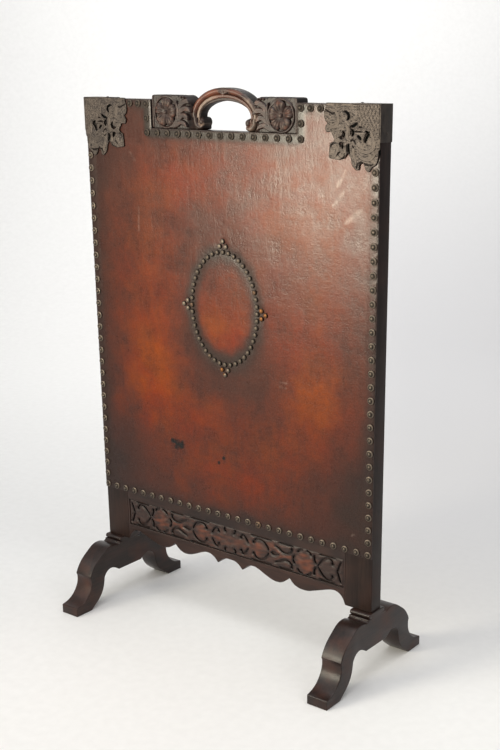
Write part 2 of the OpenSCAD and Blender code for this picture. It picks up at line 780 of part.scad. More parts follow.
// Raised scrolls
mount_scrolls = [
    [mount_point(0.9, 0.08), mount_point(0.78, 0.13), mount_point(0.74, 0.26), mount_point(0.8, 0.36),
        mount_point(0.9, 0.36)],
    [mount_point(0.74, 0.42), mount_point(0.78, 0.5), mount_point(0.74, 0.57), mount_point(0.62, 0.56)],
    [mount_point(0.87, 0.65), mount_point(0.8, 0.63), mount_point(0.75, 0.7), mount_point(0.8, 0.78),
        mount_point(0.86, 0.76)],
    [mount_point(0.7, 0.72), mount_point(0.66, 0.78), mount_point(0.6, 0.74), mount_point(0.61, 0.66)],
    [mount_point(0.6, 0.3), mount_point(0.56, 0.38), mount_point(0.58, 0.5), mount_point(0.5, 0.56)],
    [mount_point(0.44, 0.58), mount_point(0.46, 0.7), mount_point(0.42, 0.84), mount_point(0.4, 0.92)],
    [mount_point(0.4, 0.4), mount_point(0.3, 0.34), mount_point(0.16, 0.38), mount_point(0.12, 0.52),
        mount_point(0.16, 0.7)],
    [mount_point(0.3, 0.64), mount_point(0.32, 0.76), mount_point(0.24, 0.84), mount_point(0.12, 0.82)]
];

module right_corner_mount() {
    color(brass_colour) union() {
        upright(mount_front_y, band_front_y) difference() {
            polygon(mount_outline);
            for (slot = mount_slots) polygon(stroke(curve(slot, 3), slot_w, 0.3));
        }
        for (scroll = mount_scrolls)
            upright(mount_front_y - relief_t, mount_front_y + eps)
                polygon(stroke(curve(scroll, 3), scroll_w, 0.35));
        block([mount_out_x - flange_l, mount_front_y, frame_top], [mount_out_x, frame_back, mount_top]);
        block([half_w, mount_front_y, mount_top - flange_l], [mount_out_x, frame_back, mount_top]);
    }
}

module corner_mount_left() { mirror([1, 0, 0]) right_corner_mount(); }
module corner_mount_right() { right_corner_mount(); }

// A round-headed pin, its seat at z = 0
module pin() {
    intersection() {
        translate([0, 0, pin_d / 4 - pin_d / 2]) sphere(d = pin_d);
        translate([0, 0, pin_d / 4]) cube([pin_d, pin_d, pin_d / 2], center = true);
    }
}

module mount_pins() {
    color(brass_colour) both_sides() {
        translate([mount_out_x - flange_l + pin_d, -pin_d / 2, mount_top]) pin();
        translate([mount_out_x, 0, mount_top - flange_l + pin_d]) rotate([0, 90, 0]) pin();
    }
}

stile_left();
stile_right();
top_rail();
bottom_rail();
joint_pegs();
panel_board();
fret_panel();
leather_front();
leather_banding();
studs_left();
studs_right();
studs_bottom();
studs_crest();
medallion_studs();
medallion_clusters();
crest_handle();
crest_dowels();
corner_mount_left();
corner_mount_right();
mount_pins();
foot_left();
foot_right();
foot_screws();
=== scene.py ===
import math

import bmesh
import bpy
import numpy as np
from mathutils import Matrix, Vector, kdtree
from mathutils.geometry import delaunay_2d_cdt


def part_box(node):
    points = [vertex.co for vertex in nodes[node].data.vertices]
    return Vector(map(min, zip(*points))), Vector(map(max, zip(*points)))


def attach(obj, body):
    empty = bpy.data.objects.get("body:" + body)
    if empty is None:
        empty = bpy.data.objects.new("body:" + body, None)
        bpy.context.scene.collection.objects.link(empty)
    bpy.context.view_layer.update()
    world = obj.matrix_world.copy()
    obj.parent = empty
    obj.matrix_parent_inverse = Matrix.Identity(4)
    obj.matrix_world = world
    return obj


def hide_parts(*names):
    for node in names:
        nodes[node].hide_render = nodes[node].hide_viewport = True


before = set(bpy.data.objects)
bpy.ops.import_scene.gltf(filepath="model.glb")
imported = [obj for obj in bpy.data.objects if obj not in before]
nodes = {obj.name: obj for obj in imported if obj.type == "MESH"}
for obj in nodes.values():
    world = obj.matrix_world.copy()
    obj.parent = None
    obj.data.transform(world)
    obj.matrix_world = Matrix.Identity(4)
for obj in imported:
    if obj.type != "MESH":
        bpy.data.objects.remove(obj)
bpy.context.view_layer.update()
mm = 0.001

# The camera that the photograph was taken with, worked out from the frame's edges and the feet
cameraView = {
    "azimuth": 35.3341,
    "elevation": 18.1969,
    "roll": 0.4083,
    "place": (1.23862, -1.47180, 0.95847),
    "focalPixels": 1164.467,
    "middlePixel": (325.03, 456.89),
    "imagePixels": (500, 750),
    "sensorWidth": 36,
}


def makeCamera(view):
    a, e, r = (math.radians(view[k]) for k in ("azimuth", "elevation", "roll"))
    back = Vector((math.sin(a) * math.cos(e), -math.cos(a) * math.cos(e), math.sin(e)))
    level = (-back).cross(Vector((0, 0, 1))).normalized()
    upright = back.cross(level)
    right = math.cos(r) * level + math.sin(r) * upright
    up = -math.sin(r) * level + math.cos(r) * upright
    data = bpy.data.cameras.new("camera")
    wide, high = view["imagePixels"]
    data.sensor_width = view["sensorWidth"]
    data.lens = view["focalPixels"] * view["sensorWidth"] / high
    data.shift_x = (wide / 2 - view["middlePixel"][0]) / high
    data.shift_y = (view["middlePixel"][1] - high / 2) / high
    camera = bpy.data.objects.new("camera", data)
    bpy.context.scene.collection.objects.link(camera)
    turn = Matrix((right, up, back)).transposed().to_4x4()
    camera.matrix_world = Matrix.Translation(view["place"]) @ turn
    bpy.context.scene.camera = camera


makeCamera(cameraView)
print("camera made")


# Small tools for materials

def linear(hexColour):
    parts = [int(hexColour[i:i + 2], 16) / 255 for i in (1, 3, 5)]
    return [p / 12.92 if p <= 0.04045 else ((p + 0.055) / 1.055) ** 2.4 for p in parts] + [1]


def put(tree, kind, settings=None, values=None, links=None, stops=None):
    node = tree.nodes.new(kind)
    for key, value in (settings or {}).items():
        setattr(node, key, value)
    for key, value in (values or {}).items():
        node.inputs[key].default_value = value
    for key, source in (links or {}).items():
        tree.links.new(source, node.inputs[key])
    for i, (position, colour) in enumerate(stops or []):
        steps = node.color_ramp.elements
        step = steps[i] if i < 2 else steps.new(position)
        step.position = position
        step.color = linear(colour)
    return node


def startMaterial(name):
    material = bpy.data.materials.new(name)
    material.use_nodes = True
    tree = material.node_tree
    tree.nodes.clear()
    shader = put(tree, "ShaderNodeBsdfPrincipled")
    put(tree, "ShaderNodeOutputMaterial", links={"Surface": shader.outputs[0]})
    place = put(tree, "ShaderNodeTexCoord").outputs["Object"]
    return material, tree, shader, place


# The room: a pale sweep, a pale sky and soft lights

roomLook = {
    "paper": "#f1f0ee",
    # The paper's painted shade: its colour, and where it darkens along each axis
    "paintedShadeColour": "#cfcecf",
    "shade": {"X": (-0.35, 0.5, 1.0), "Y": (-0.7, 1.1, 1.0), "Z": (1.3, -0.3, 1.0)},
    "skyColour": "#f6f7f8",
    "skyStrength": 0.42,
    "sweepHalfWidth": 5.0,
    "sweepFront": -4.0,
    "sweepBend": 2.2,
    "bendRadius": 1.6,
    "sweepTop": 4.5,
}
# The front lamp stands where the leather mirrors it in its upper right part, which gives it its haze
lamps = [
    {"name": "keyLamp", "place": (-1.7, -1.7, 2.1), "aim": (0, 0, 0.5), "size": 1.8, "power": 13.5, "spread": 180},
    {"name": "frontLamp", "place": (-0.71, -1.73, 0.79), "aim": (0.2, 0, 0.75), "size": 0.68, "power": 7.9,
     "spread": 60, "colour": "#fff6e0"},
    {"name": "topLamp", "place": (0.2, -0.3, 2.7), "aim": (0, 0, 0.4), "size": 1.8, "power": 36, "spread": 180},
    {"name": "sideLamp", "place": (2.6, -0.5, 1.7), "aim": (0, 0, 0.5), "size": 1.2, "power": 10.5, "spread": 180},
    {"name": "paperLamp", "place": (-1.2, 1.2, 2.6), "aim": (-1.8, 3.4, 1.5), "size": 1.5, "power": 49,
     "spread": 180},
]


def makeRoom(look):
    material, tree, shader, place = startMaterial("matt background paper")
    # Paper fibre is finer than a pixel, so it only breaks the colour a little
    fibre = put(tree, "ShaderNodeTexNoise", values={"Scale": 60, "Detail": 3}, links={"Vector": place})
    tint = put(tree, "ShaderNodeValToRGB", links={"Fac": fibre.outputs["Fac"]},
               stops=[(0.3, "#edecea"), (0.7, look["paper"])])
    # Painted shade: the paper's colour is darkened on the right, behind the object, on the floor and in the bend
    squared = put(tree, "ShaderNodeMapping", values={"Rotation": (0, 0, math.radians(-cameraView["azimuth"]))},
                  links={"Vector": place})
    axes = put(tree, "ShaderNodeSeparateXYZ", links={"Vector": squared.outputs["Vector"]})
    shade = None
    for axis, (low, high, most) in look["shade"].items():
        share = put(tree, "ShaderNodeMapRange", {"interpolation_type": "SMOOTHSTEP"},
                    {"From Min": low, "From Max": high, "To Max": most}, {"Value": axes.outputs[axis]})
        part = put(tree, "ShaderNodeMath", {"operation": "MULTIPLY"}, {1: 1.0}, {0: share.outputs["Result"]})
        if shade:
            tree.links.new(shade, part.inputs[1])
        shade = part.outputs[0]
    withPaintedShade = put(tree, "ShaderNodeMix", {"data_type": "RGBA"}, {7: linear(look["paintedShadeColour"])},
                 {0: shade, 6: tint.outputs["Color"]})
    tree.links.new(withPaintedShade.outputs[2], shader.inputs["Base Color"])
    shader.inputs["Roughness"].default_value = 0.9
    profile = [(look["sweepFront"], 0)]
    for i in range(17):
        t = math.radians(90 * i / 16)
        profile.append((look["sweepBend"] + look["bendRadius"] * math.sin(t),
                        look["bendRadius"] * (1 - math.cos(t))))
    profile.append((look["sweepBend"] + look["bendRadius"], look["sweepTop"]))
    half = look["sweepHalfWidth"]
    points = [(x, y, z) for y, z in profile for x in (-half, half)]
    faces = [(2 * i, 2 * i + 1, 2 * i + 3, 2 * i + 2) for i in range(len(profile) - 1)]
    mesh = bpy.data.meshes.new("sweep")
    mesh.from_pydata(points, [], faces)
    mesh.shade_smooth()
    mesh.materials.append(material)
    sweep = bpy.data.objects.new("sweep", mesh)
    bpy.context.scene.collection.objects.link(sweep)
    # The sweep is turned to stand square behind the object as the camera sees it
    sweep.data.transform(Matrix.Rotation(math.radians(cameraView["azimuth"]), 4, "Z"))
    world = bpy.data.worlds.new("sky")
    world.use_nodes = True
    sky = world.node_tree.nodes["Background"]
    sky.inputs["Color"].default_value = linear(look["skyColour"])
    sky.inputs["Strength"].default_value = look["skyStrength"]
    bpy.context.scene.world = world
    bpy.context.scene.view_settings.view_transform = "Standard"


def makeLamp(lamp):
    data = bpy.data.lights.new(lamp["name"], "AREA")
    data.size = lamp["size"]
    data.energy = lamp["power"]
    data.spread = math.radians(lamp["spread"])
    data.color = linear(lamp.get("colour", "#ffffff"))[:3]
    obj = bpy.data.objects.new(lamp["name"], data)
    bpy.context.scene.collection.objects.link(obj)
    obj.location = lamp["place"]
    aim = Vector(lamp["aim"]) - Vector(lamp["place"])
    obj.rotation_euler = aim.to_track_quat("-Z", "Y").to_euler()


makeRoom(roomLook)
for lamp in lamps:
    makeLamp(lamp)
print("room and lamps made")


# Small tools for meshes

# Makes a mesh a piece of the object, in place of the CAD nodes that it stands for
def addPiece(name, mesh, material, replaced=()):
    mesh.materials.clear()
    mesh.materials.append(material)
    piece = bpy.data.objects.new(name, mesh)
    bpy.context.scene.collection.objects.link(piece)
    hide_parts(*replaced)
    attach(piece, "root")
    return piece


# Gives a CAD node that stays as it is its finish
def dress(name, material):
    node = nodes[name]
    if not node.data.materials:
        node.data.materials.append(material)
    for held in node.material_slots:
        held.material = material


def smoothCurve(points, steps=6):
    line = []
    last = len(points) - 1
    for i in range(last):
        a, b, c, d = (np.array(points[min(max(k, 0), last)], float) for k in (i - 1, i, i + 1, i + 2))
        for t in np.arange(steps) / steps:
            line.append(0.5 * (2 * b + (c - a) * t + (2 * a - 5 * b + 4 * c - d) * t ** 2
                               + (3 * b - a - 3 * c + d) * t ** 3))
    line.append(np.array(points[-1], float))
    return line


# How far each place is from a stroke's line, as a share of its half width, and how far along it
def strokeField(x, z, line, width, tip=0.3):
    line = [np.array(p, float) for p in line]
    lengths = np.cumsum([0] + [np.linalg.norm(b - a) for a, b in zip(line, line[1:])])
    across = np.full(x.shape, 99.0)
    along = np.zeros(x.shape)
    for i, (a, b) in enumerate(zip(line, line[1:])):
        d = b - a
        t = np.clip(((x - a[0]) * d[0] + (z - a[1]) * d[1]) / max(d @ d, 1e-9), 0, 1)
        gap = np.hypot(x - a[0] - t * d[0], z - a[1] - t * d[1])
        s = (lengths[i] + t * (lengths[i + 1] - lengths[i])) / lengths[-1]
        half = width / 2 * (tip + (1 - tip) * np.minimum(1, np.minimum(5 * s, 5 * (1 - s))))
        ratio = gap / half
        nearer = ratio < across
        across = np.where(nearer, ratio, across)
        along = np.where(nearer, s, along)
    return across, along


# A soft unevenness, about one high, from waves of one length in several directions
def unevenness(x, z, wave, seed):
    draw = np.random.default_rng(seed)
    total = np.zeros(x.shape)
    for _ in range(8):
        angle, phase = draw.uniform(0, 2 * np.pi, 2)
        k = 2 * np.pi / (wave * draw.uniform(0.7, 1.4))
        total += np.sin(k * (x * np.cos(angle) + z * np.sin(angle)) + phase)
    return total / 2.8


def ease(value, low, high):
    t = np.clip((value - low) / (high - low), 0, 1)
    return t * t * (3 - 2 * t)


# A round or oval stain: strong in its middle, gone at its edge
def stain(x, z, middle, reach, strength=1.0, lean=0.0):
    u = x - middle[0] - lean * (z - middle[1])
    return strength * np.exp(-((u / reach[0]) ** 2 + ((z - middle[1]) / reach[1]) ** 2))


# The edges round a node's faces that lie at one depth, in millimetres across and up
def edgesAt(name, depth):
    mesh = nodes[name].data
    points = np.empty(len(mesh.vertices) * 3)
    mesh.vertices.foreach_get("co", points)
    mesh.calc_loop_triangles()
    index = np.empty(len(mesh.loop_triangles) * 3, dtype=int)
    mesh.loop_triangles.foreach_get("vertices", index)
    triangles = points.reshape(-1, 3)[index].reshape(-1, 3, 3) / mm
    count = {}
    for corners in triangles[np.abs(triangles[:, :, 1] - depth).max(axis=1) < 0.01]:
        keys = [(round(x, 2), round(z, 2)) for x, _, z in corners.tolist()]
        for edge in zip(keys, keys[1:] + keys[:1]):
            edge = tuple(sorted(edge))
            count[edge] = count.get(edge, 0) + 1
    return [edge for edge, times in count.items() if times == 1 and edge[0] != edge[1]]


# The same outline with its corners cut round, no more than a given length off each side
def eased(edges, reach):
    beside = {}
    for a, b in edges:
        beside.setdefault(a, []).append(b)
        beside.setdefault(b, []).append(a)
    rounded = []
    while beside:
        loop = [next(iter(beside))]
        while True:
            onward = [p for p in beside.pop(loop[-1]) if p in beside]
            if not onward:
                break
            loop.append(onward[0])
        for _ in range(3):
            cut = []
            for before, here, after in zip(loop[-1:] + loop[:-1], loop, loop[1:] + loop[:1]):
                for other in (before, after):
                    length = math.dist(here, other)
                    t = min(0.25, reach / length) if length else 0
                    cut.append((here[0] + t * (other[0] - here[0]), here[1] + t * (other[1] - here[1])))
            loop = cut
        rounded += [(a, b) for a, b in zip(loop, loop[1:] + loop[:1]) if math.dist(a, b) > 0.01]
    return rounded


# Where a level line at one height runs inside the outline
def spansInside(ends, z):
    x1, z1, x2, z2 = ends[:, 0, 0], ends[:, 0, 1], ends[:, 1, 0], ends[:, 1, 1]
    hit = (z1 <= z) != (z2 <= z)
    crossings = x1[hit] + (z - z1[hit]) * (x2[hit] - x1[hit]) / (z2[hit] - z1[hit])
    return np.sort(crossings).reshape(-1, 2)


def isInside(ends, x, z):
    return any(a < x < b for a, b in spansInside(ends, z))


# A carved or pressed piece: its outline is that of a CAD face, its back is flat, and its front is a
# fine skin of triangles whose depth, and whose attributes for the finish, a function gives
def carve(name, edges, back, step, surface, guides=()):
    points, pairs, numberOf = [], [], {}

    def number(p):
        key = (round(float(p[0]), 3), round(float(p[1]), 3))
        if key not in numberOf:
            numberOf[key] = len(points)
            points.append(key)
        return numberOf[key]

    def addLine(a, b):
        a, b = np.array(a), np.array(b)
        count = max(1, round(np.linalg.norm(b - a) / step))
        line = [number(a + (b - a) * i / count) for i in range(count + 1)]
        pairs.extend((p, q) for p, q in zip(line, line[1:]) if p != q)

    for a, b in edges:
        addLine(a, b)
    for line in guides:
        for a, b in zip(line, line[1:]):
            addLine(a, b)
    fixed = len(points)
    ends = np.array(edges)
    near = kdtree.KDTree(fixed)
    for i, (x, z) in enumerate(points):
        near.insert((x, z, 0), i)
    near.balance()
    row = 0
    z = ends[:, :, 1].min() + 0.437 * step
    while z < ends[:, :, 1].max():
        for a, b in spansInside(ends, z):
            start = math.ceil(a / step - 0.5 * (row % 2)) + 0.5 * (row % 2)
            for x in np.arange(start * step, b, step):
                if near.find((x, z, 0))[2] > 0.55 * step:
                    points.append((float(x), float(z)))
        row += 1
        z += step * 0.866
    flat, _, faces, source, _, _ = delaunay_2d_cdt([Vector(p) for p in points], pairs, [], 0, 1e-6)
    flat = np.array([(v.x, v.y) for v in flat])
    inner = [any(i >= fixed for i in s) for s in source]
    kept = []
    for face in faces:
        if not any(inner[v] for v in face):
            x, z = flat[list(face)].mean(axis=0)
            if not isInside(ends, x, z):
                continue
        a, b, c = flat[list(face)]
        turn = (b[0] - a[0]) * (c[1] - a[1]) - (b[1] - a[1]) * (c[0] - a[0])
        if abs(turn) > 1e-7:
            kept.append(tuple(face) if turn > 0 else tuple(reversed(face)))
    directed = {(p, q) for f in kept for p, q in zip(f, f[1:] + f[:1])}
    rimEdges = [(p, q) for p, q in directed if (q, p) not in directed]
    rim = sorted({p for edge in rimEdges for p in edge})
    used = sorted({p for f in kept for p in f})
    order = {p: i for i, p in enumerate(used)}
    behind = {p: len(used) + i for i, p in enumerate(rim)}

    # The distance to the outline, from points close together along it
    fine = [a + (b - a) * t for a, b in ends for t in np.arange(0, 1, 0.2 / max(0.2, np.hypot(*(b - a))))]
    edgeTree = kdtree.KDTree(len(fine))
    for i, (x, z) in enumerate(fine):
        edgeTree.insert((x, z, 0), i)
    edgeTree.balance()
    x, z = flat[used].T
    distance = np.array([edgeTree.find((a, b, 0))[2] for a, b in zip(x, z)])
    rimIndex = [order[p] for p in rim]
    distance[rimIndex] = 0
    depth, finish = surface(x, z, distance)
    front = np.stack([x, depth, z], axis=1)
    rear = np.stack([x[rimIndex], np.full(len(rim), float(back)), z[rimIndex]], axis=1)
    shapes = [tuple(order[p] for p in f) for f in kept]
    shapes += [(order[q], order[p], behind[p], behind[q]) for p, q in rimEdges]
    place = {p: i for i, p in enumerate(rim)}
    backFlat, _, backFaces, backSource, _, _ = delaunay_2d_cdt(
        [Vector(flat[p]) for p in rim], [(place[p], place[q]) for p, q in rimEdges], [], 0, 1e-6)
    for face in backFaces:
        corners = [backFlat[v] for v in face]
        if isInside(ends, sum(c.x for c in corners) / 3, sum(c.y for c in corners) / 3):
            a, b, c = corners
            ids = [len(used) + backSource[v][0] for v in face]
            shapes.append(tuple(reversed(ids)) if (b - a).cross(c - a) > 0 else tuple(ids))
    mesh = bpy.data.meshes.new(name)
    mesh.from_pydata((np.concatenate([front, rear]) * mm).tolist(), [], shapes)
    for key, value in finish.items():
        held = mesh.attributes.new(key, "FLOAT", "POINT")
        held.data.foreach_set("value", np.concatenate([value, value[rimIndex]]).astype(np.float32))
    mesh.shade_smooth()
    mesh.set_sharp_from_angle(angle=math.radians(48))
    print(name, "carved,", len(shapes), "faces")
    return mesh


# A copy of a CAD node with its long outer edges rounded
def soften(name, width, onEdge, segments=3):
    work = bmesh.new()
    work.from_mesh(nodes[name].data)
    bmesh.ops.remove_doubles(work, verts=work.verts, dist=2e-6)
    bmesh.ops.dissolve_limit(work, angle_limit=0.01, verts=work.verts, edges=work.edges)
    chosen = []
    for edge in work.edges:
        if len(edge.link_faces) == 2 and edge.calc_face_angle() > math.radians(35):
            if all(onEdge(v.co / mm) for v in edge.verts):
                chosen.append(edge)
    bmesh.ops.bevel(work, geom=chosen, offset=width * mm, segments=segments, profile=0.6,
                    affect="EDGES", clamp_overlap=False)
    mesh = bpy.data.meshes.new(name + "_softened")
    work.to_mesh(mesh)
    work.free()
    mesh.shade_smooth()
    mesh.set_sharp_from_angle(angle=math.radians(32))
    return mesh


# The middle of each loose solid of a node, at the depth of its back, in metres
def centresOf(name):
    work = bmesh.new()
    work.from_mesh(nodes[name].data)
    bmesh.ops.remove_doubles(work, verts=work.verts, dist=1e-6)
    seen, centres = set(), []
    for start in work.verts:
        if start in seen:
            continue
        seen.add(start)
        stack, island = [start], []
        while stack:
            vert = stack.pop()
            island.append(vert.co[:])
            for edge in vert.link_edges:
                other = edge.other_vert(vert)
                if other not in seen:
                    seen.add(other)
                    stack.append(other)
        low, high = np.min(island, axis=0), np.max(island, axis=0)
        centres.append(((low[0] + high[0]) / 2, high[1], (low[2] + high[2]) / 2))
    work.free()
    return centres


# Dark stained oak, waxed: nearly black brown, with long grain, open pores and a low soft gloss
oakLook = {
    "deep": "#1c1311",
    "middle": "#2c1d18",
    "warm": "#3d251d",
    "rubbed": "#36221b",
    "figureWidth": 9.0,
    "poreWidth": 1.1,
    "poreStretch": 14.0,
    "roughness": (0.3, 0.46),
    "specular": 0.26,
}


def makeOak(name, along, look):
    material, tree, shader, place = startMaterial(name)
    squeeze = [1.0, 1.0, 1.0]
    squeeze["XYZ".index(along)] = 1 / look["poreStretch"]
    grain = put(tree, "ShaderNodeMapping", values={"Scale": squeeze}, links={"Vector": place})
    figure = put(tree, "ShaderNodeTexNoise",
                 values={"Scale": 1000 / look["figureWidth"] / 3, "Detail": 4, "Distortion": 0.6},
                 links={"Vector": grain.outputs["Vector"]})
    tone = put(tree, "ShaderNodeValToRGB", links={"Fac": figure.outputs["Fac"]},
               stops=[(0.28, look["deep"]), (0.55, look["middle"]), (0.8, look["warm"])])
    pores = put(tree, "ShaderNodeTexNoise",
                values={"Scale": 1000 / look["poreWidth"] / 3, "Detail": 3, "Roughness": 0.65},
                links={"Vector": grain.outputs["Vector"]})
    dirt = put(tree, "ShaderNodeMapRange", values={"From Min": 0.35, "From Max": 0.6},
               links={"Value": pores.outputs["Fac"]})
    colour = put(tree, "ShaderNodeMix", {"data_type": "RGBA", "blend_type": "MULTIPLY"},
                 {0: 0.45}, {6: tone.outputs["Color"], 7: dirt.outputs["Result"]})
    # Rubbed and dull patches as broad as a hand, redder where the stain has worn thin
    rubbed = put(tree, "ShaderNodeTexNoise", values={"Scale": 14, "Detail": 3}, links={"Vector": place})
    thin = put(tree, "ShaderNodeMapRange", values={"From Min": 0.5, "From Max": 0.72, "To Max": 0.8},
               links={"Value": rubbed.outputs["Fac"]})
    worn = put(tree, "ShaderNodeMix", {"data_type": "RGBA"}, {7: linear(look["rubbed"])},
               {0: thin.outputs["Result"], 6: colour.outputs[2]})
    tree.links.new(worn.outputs[2], shader.inputs["Base Color"])
    gloss = put(tree, "ShaderNodeMapRange",
                values={"From Min": 0.3, "From Max": 0.7,
                        "To Min": look["roughness"][0], "To Max": look["roughness"][1]},
                links={"Value": rubbed.outputs["Fac"]})
    tree.links.new(gloss.outputs["Result"], shader.inputs["Roughness"])
    shader.inputs["Specular IOR Level"].default_value = look["specular"]
    bump = put(tree, "ShaderNodeBump", values={"Strength": 0.25, "Distance": 0.0005},
               links={"Height": pores.outputs["Fac"]})
    tree.links.new(bump.outputs["Normal"], shader.inputs["Normal"])
    return material


# The stiles are redder and duller than the rails, the feet are polished by handling
stileLook = dict(oakLook, middle="#2a1f1b", warm="#35231c", rubbed="#34231d", specular=0.15)
oakUp = makeOak("dark waxed oak, grain upright", "Z", stileLook)
oakAcross = makeOak("dark waxed oak, grain across", "X", oakLook)
oakDeep = makeOak("dark waxed oak, grain front to back", "Y", dict(oakLook, rubbed="#4c2819", specular=0.36))


def onFrameEdge(p):
    return abs(abs(p.y) - 14) < 0.02


def onFootEdge(p):
    low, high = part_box("foot_right")
    return min(abs(abs(p.x) - low.x / mm), abs(abs(p.x) - high.x / mm)) < 0.02


for name, material in (("stile_left", oakUp), ("stile_right", oakUp),
                       ("top_rail", oakAcross), ("bottom_rail", oakAcross)):
    addPiece(name + "_wood", soften(name, 1.0, onFrameEdge), material, [name])
for name in ("foot_left", "foot_right"):
    addPiece(name + "_wood", soften(name, 1.4, onFootEdge), oakDeep, [name])
for name in ("joint_pegs", "crest_dowels"):
    dress(name, oakDeep)
print("frame and feet made")


# Stained pine board: broad soft figure, seen from the back only
def makePine():
    material, tree, shader, place = startMaterial("stained pine board")
    grain = put(tree, "ShaderNodeMapping", values={"Scale": (1, 1, 0.06)}, links={"Vector": place})
    figure = put(tree, "ShaderNodeTexNoise", values={"Scale": 45, "Detail": 5, "Distortion": 0.8},
                 links={"Vector": grain.outputs["Vector"]})
    tone = put(tree, "ShaderNodeValToRGB", links={"Fac": figure.outputs["Fac"]},
               stops=[(0.3, "#2c2019"), (0.52, "#46321f"), (0.72, "#5a4129")])
    tree.links.new(tone.outputs["Color"], shader.inputs["Base Color"])
    fine = put(tree, "ShaderNodeTexNoise", values={"Scale": 420, "Detail": 3},
               links={"Vector": grain.outputs["Vector"]})
    gloss = put(tree, "ShaderNodeMapRange",
                values={"From Min": 0.3, "From Max": 0.7, "To Min": 0.55, "To Max": 0.75},
                links={"Value": fine.outputs["Fac"]})
    tree.links.new(gloss.outputs["Result"], shader.inputs["Roughness"])
    bump = put(tree, "ShaderNodeBump", values={"Strength": 0.3, "Distance": 0.0006},
               links={"Height": fine.outputs["Fac"]})
    tree.links.new(bump.outputs["Normal"], shader.inputs["Normal"])
    return material


dress("panel_board", makePine())


# Bright steel screws, turned and slotted, dulled by age
def makeSteel():
    material, tree, shader, place = startMaterial("dull turned steel")
    stretched = put(tree, "ShaderNodeMapping", values={"Scale": (1, 1, 9)}, links={"Vector": place})
    turned = put(tree, "ShaderNodeTexNoise", values={"Scale": 900, "Detail": 2},
                 links={"Vector": stretched.outputs["Vector"]})
    tone = put(tree, "ShaderNodeValToRGB", links={"Fac": turned.outputs["Fac"]},
               stops=[(0.35, "#56524c"), (0.65, "#8b867d")])
    tree.links.new(tone.outputs["Color"], shader.inputs["Base Color"])
    gloss = put(tree, "ShaderNodeMapRange", values={"To Min": 0.35, "To Max": 0.6},
                links={"Value": turned.outputs["Fac"]})
    tree.links.new(gloss.outputs["Result"], shader.inputs["Roughness"])
    shader.inputs["Metallic"].default_value = 1.0
    return material


dress("foot_screws", makeSteel())


# Leather: one hide over the whole front, thicker along its edges where the tooled band lies

leatherPlan = {
    "halfWidth": 300.0,
    "low": 215.0,
    "high": 917.5,
    "notchHalf": 149.2,
    "notchLow": 872.0,
    "back": -14.0,
    "front": -16.0,
    "bandFront": -16.4,
    "bandWidth": 15.0,
    "bandStep": 4.0,
    "gridStep": 3.0,
    "pillow": 0.08,
    "wave": 90.0,
}


# The distance in from the leather's edge
def fromLeatherEdge(x, z, plan):
    outer = np.minimum(plan["halfWidth"] - np.abs(x), np.minimum(z - plan["low"], plan["high"] - z))
    across = np.maximum(np.abs(x) - plan["notchHalf"], 0)
    below = np.maximum(plan["notchLow"] - z, 0)
    return np.minimum(outer, np.hypot(across, below))


def bandLine(inset, plan):
    h, n = plan["halfWidth"] - inset, plan["notchHalf"] + inset
    low, high, notch = plan["low"] + inset, plan["high"] - inset, plan["notchLow"] - inset
    return [(-h, low), (h, low), (h, high), (n, high), (n, notch), (-n, notch), (-n, high), (-h, high),
            (-h, low)]


smallStuds = centresOf("medallion_studs") + centresOf("medallion_clusters")


def leatherSurface(x, z, distance):
    plan = leatherPlan
    inside = fromLeatherEdge(x, z, plan)
    band = 1 - ease(inside, plan["bandWidth"] - plan["bandStep"], plan["bandWidth"] + plan["bandStep"])
    depth = plan["front"] + (plan["bandFront"] - plan["front"]) * band
    depth += plan["pillow"] * unevenness(x, z, plan["wave"], 3) * ease(inside, 15, 60)
    # Pressed in a little round each small stud
    for cx, _, cz in smallStuds:
        gap = np.hypot(x - cx / mm, z - cz / mm)
        depth += 0.35 * np.exp(-(gap / 6.5) ** 2)
    # Rubbed round along the cut edge
    depth += 0.5 * (1 - ease(distance, 0, 1.5))
    return depth, paintLeather(x, z, inside, band)


# Where the hide is burnished dark and where it has kept its warm tan
leatherStains = {
    "glow": [
        ((-165, 455), (66, 85), 1.0, 0.0), ((-165, 620), (75, 110), 0.5, 0.0),
        ((-100, 800), (75, 50), 0.6, 0.0), ((192, 455), (66, 62), 0.85, 0.0),
        ((160, 580), (80, 70), 0.55, 0.0), ((-70, 390), (90, 55), 0.32, 0.0),
        ((60, 350), (120, 60), 0.2, 0.0), ((150, 760), (170, 130), 0.6, 0.0),
        ((0, 290), (140, 42), 0.42, 0.0), ((90, 385), (150, 40), 0.25, 0.0),
    ],
    "ochre": [
        ((-165, 475), (55, 75), 1.0, 0.0), ((-160, 715), (50, 70), 1.0, 0.0), ((200, 465), (50, 60), 1.0, 0.0),
        ((-8, 562), (50, 24), 0.9, 0.0), ((60, 350), (80, 40), 0.5, 0.0), ((165, 740), (120, 110), 0.9, 0.0),
    ],
    "burn": [
        ((0, 208), (340, 27), 1.0, 0.0), ((-312, 500), (45, 420), 0.95, 0.0),
        ((-270, 270), (95, 75), 0.75, 0.0), ((-320, 850), (110, 90), 0.7, 0.0),
        ((312, 380), (42, 150), 0.95, 0.0), ((262, 285), (72, 85), 0.8, 0.0),
        ((-140, 905), (60, 34), 0.6, 0.0), ((20, 452), (75, 40), 0.55, 0.0),
        ((-70, 500), (28, 50), 0.4, 0.0), ((-20, 715), (70, 30), 0.35, 0.0),
        ((268, 735), (20, 38), 0.3, 0.0), ((75, 690), (45, 30), 0.25, 0.0), ((120, 620), (60, 35), 0.2, 0.0),
    ],
}
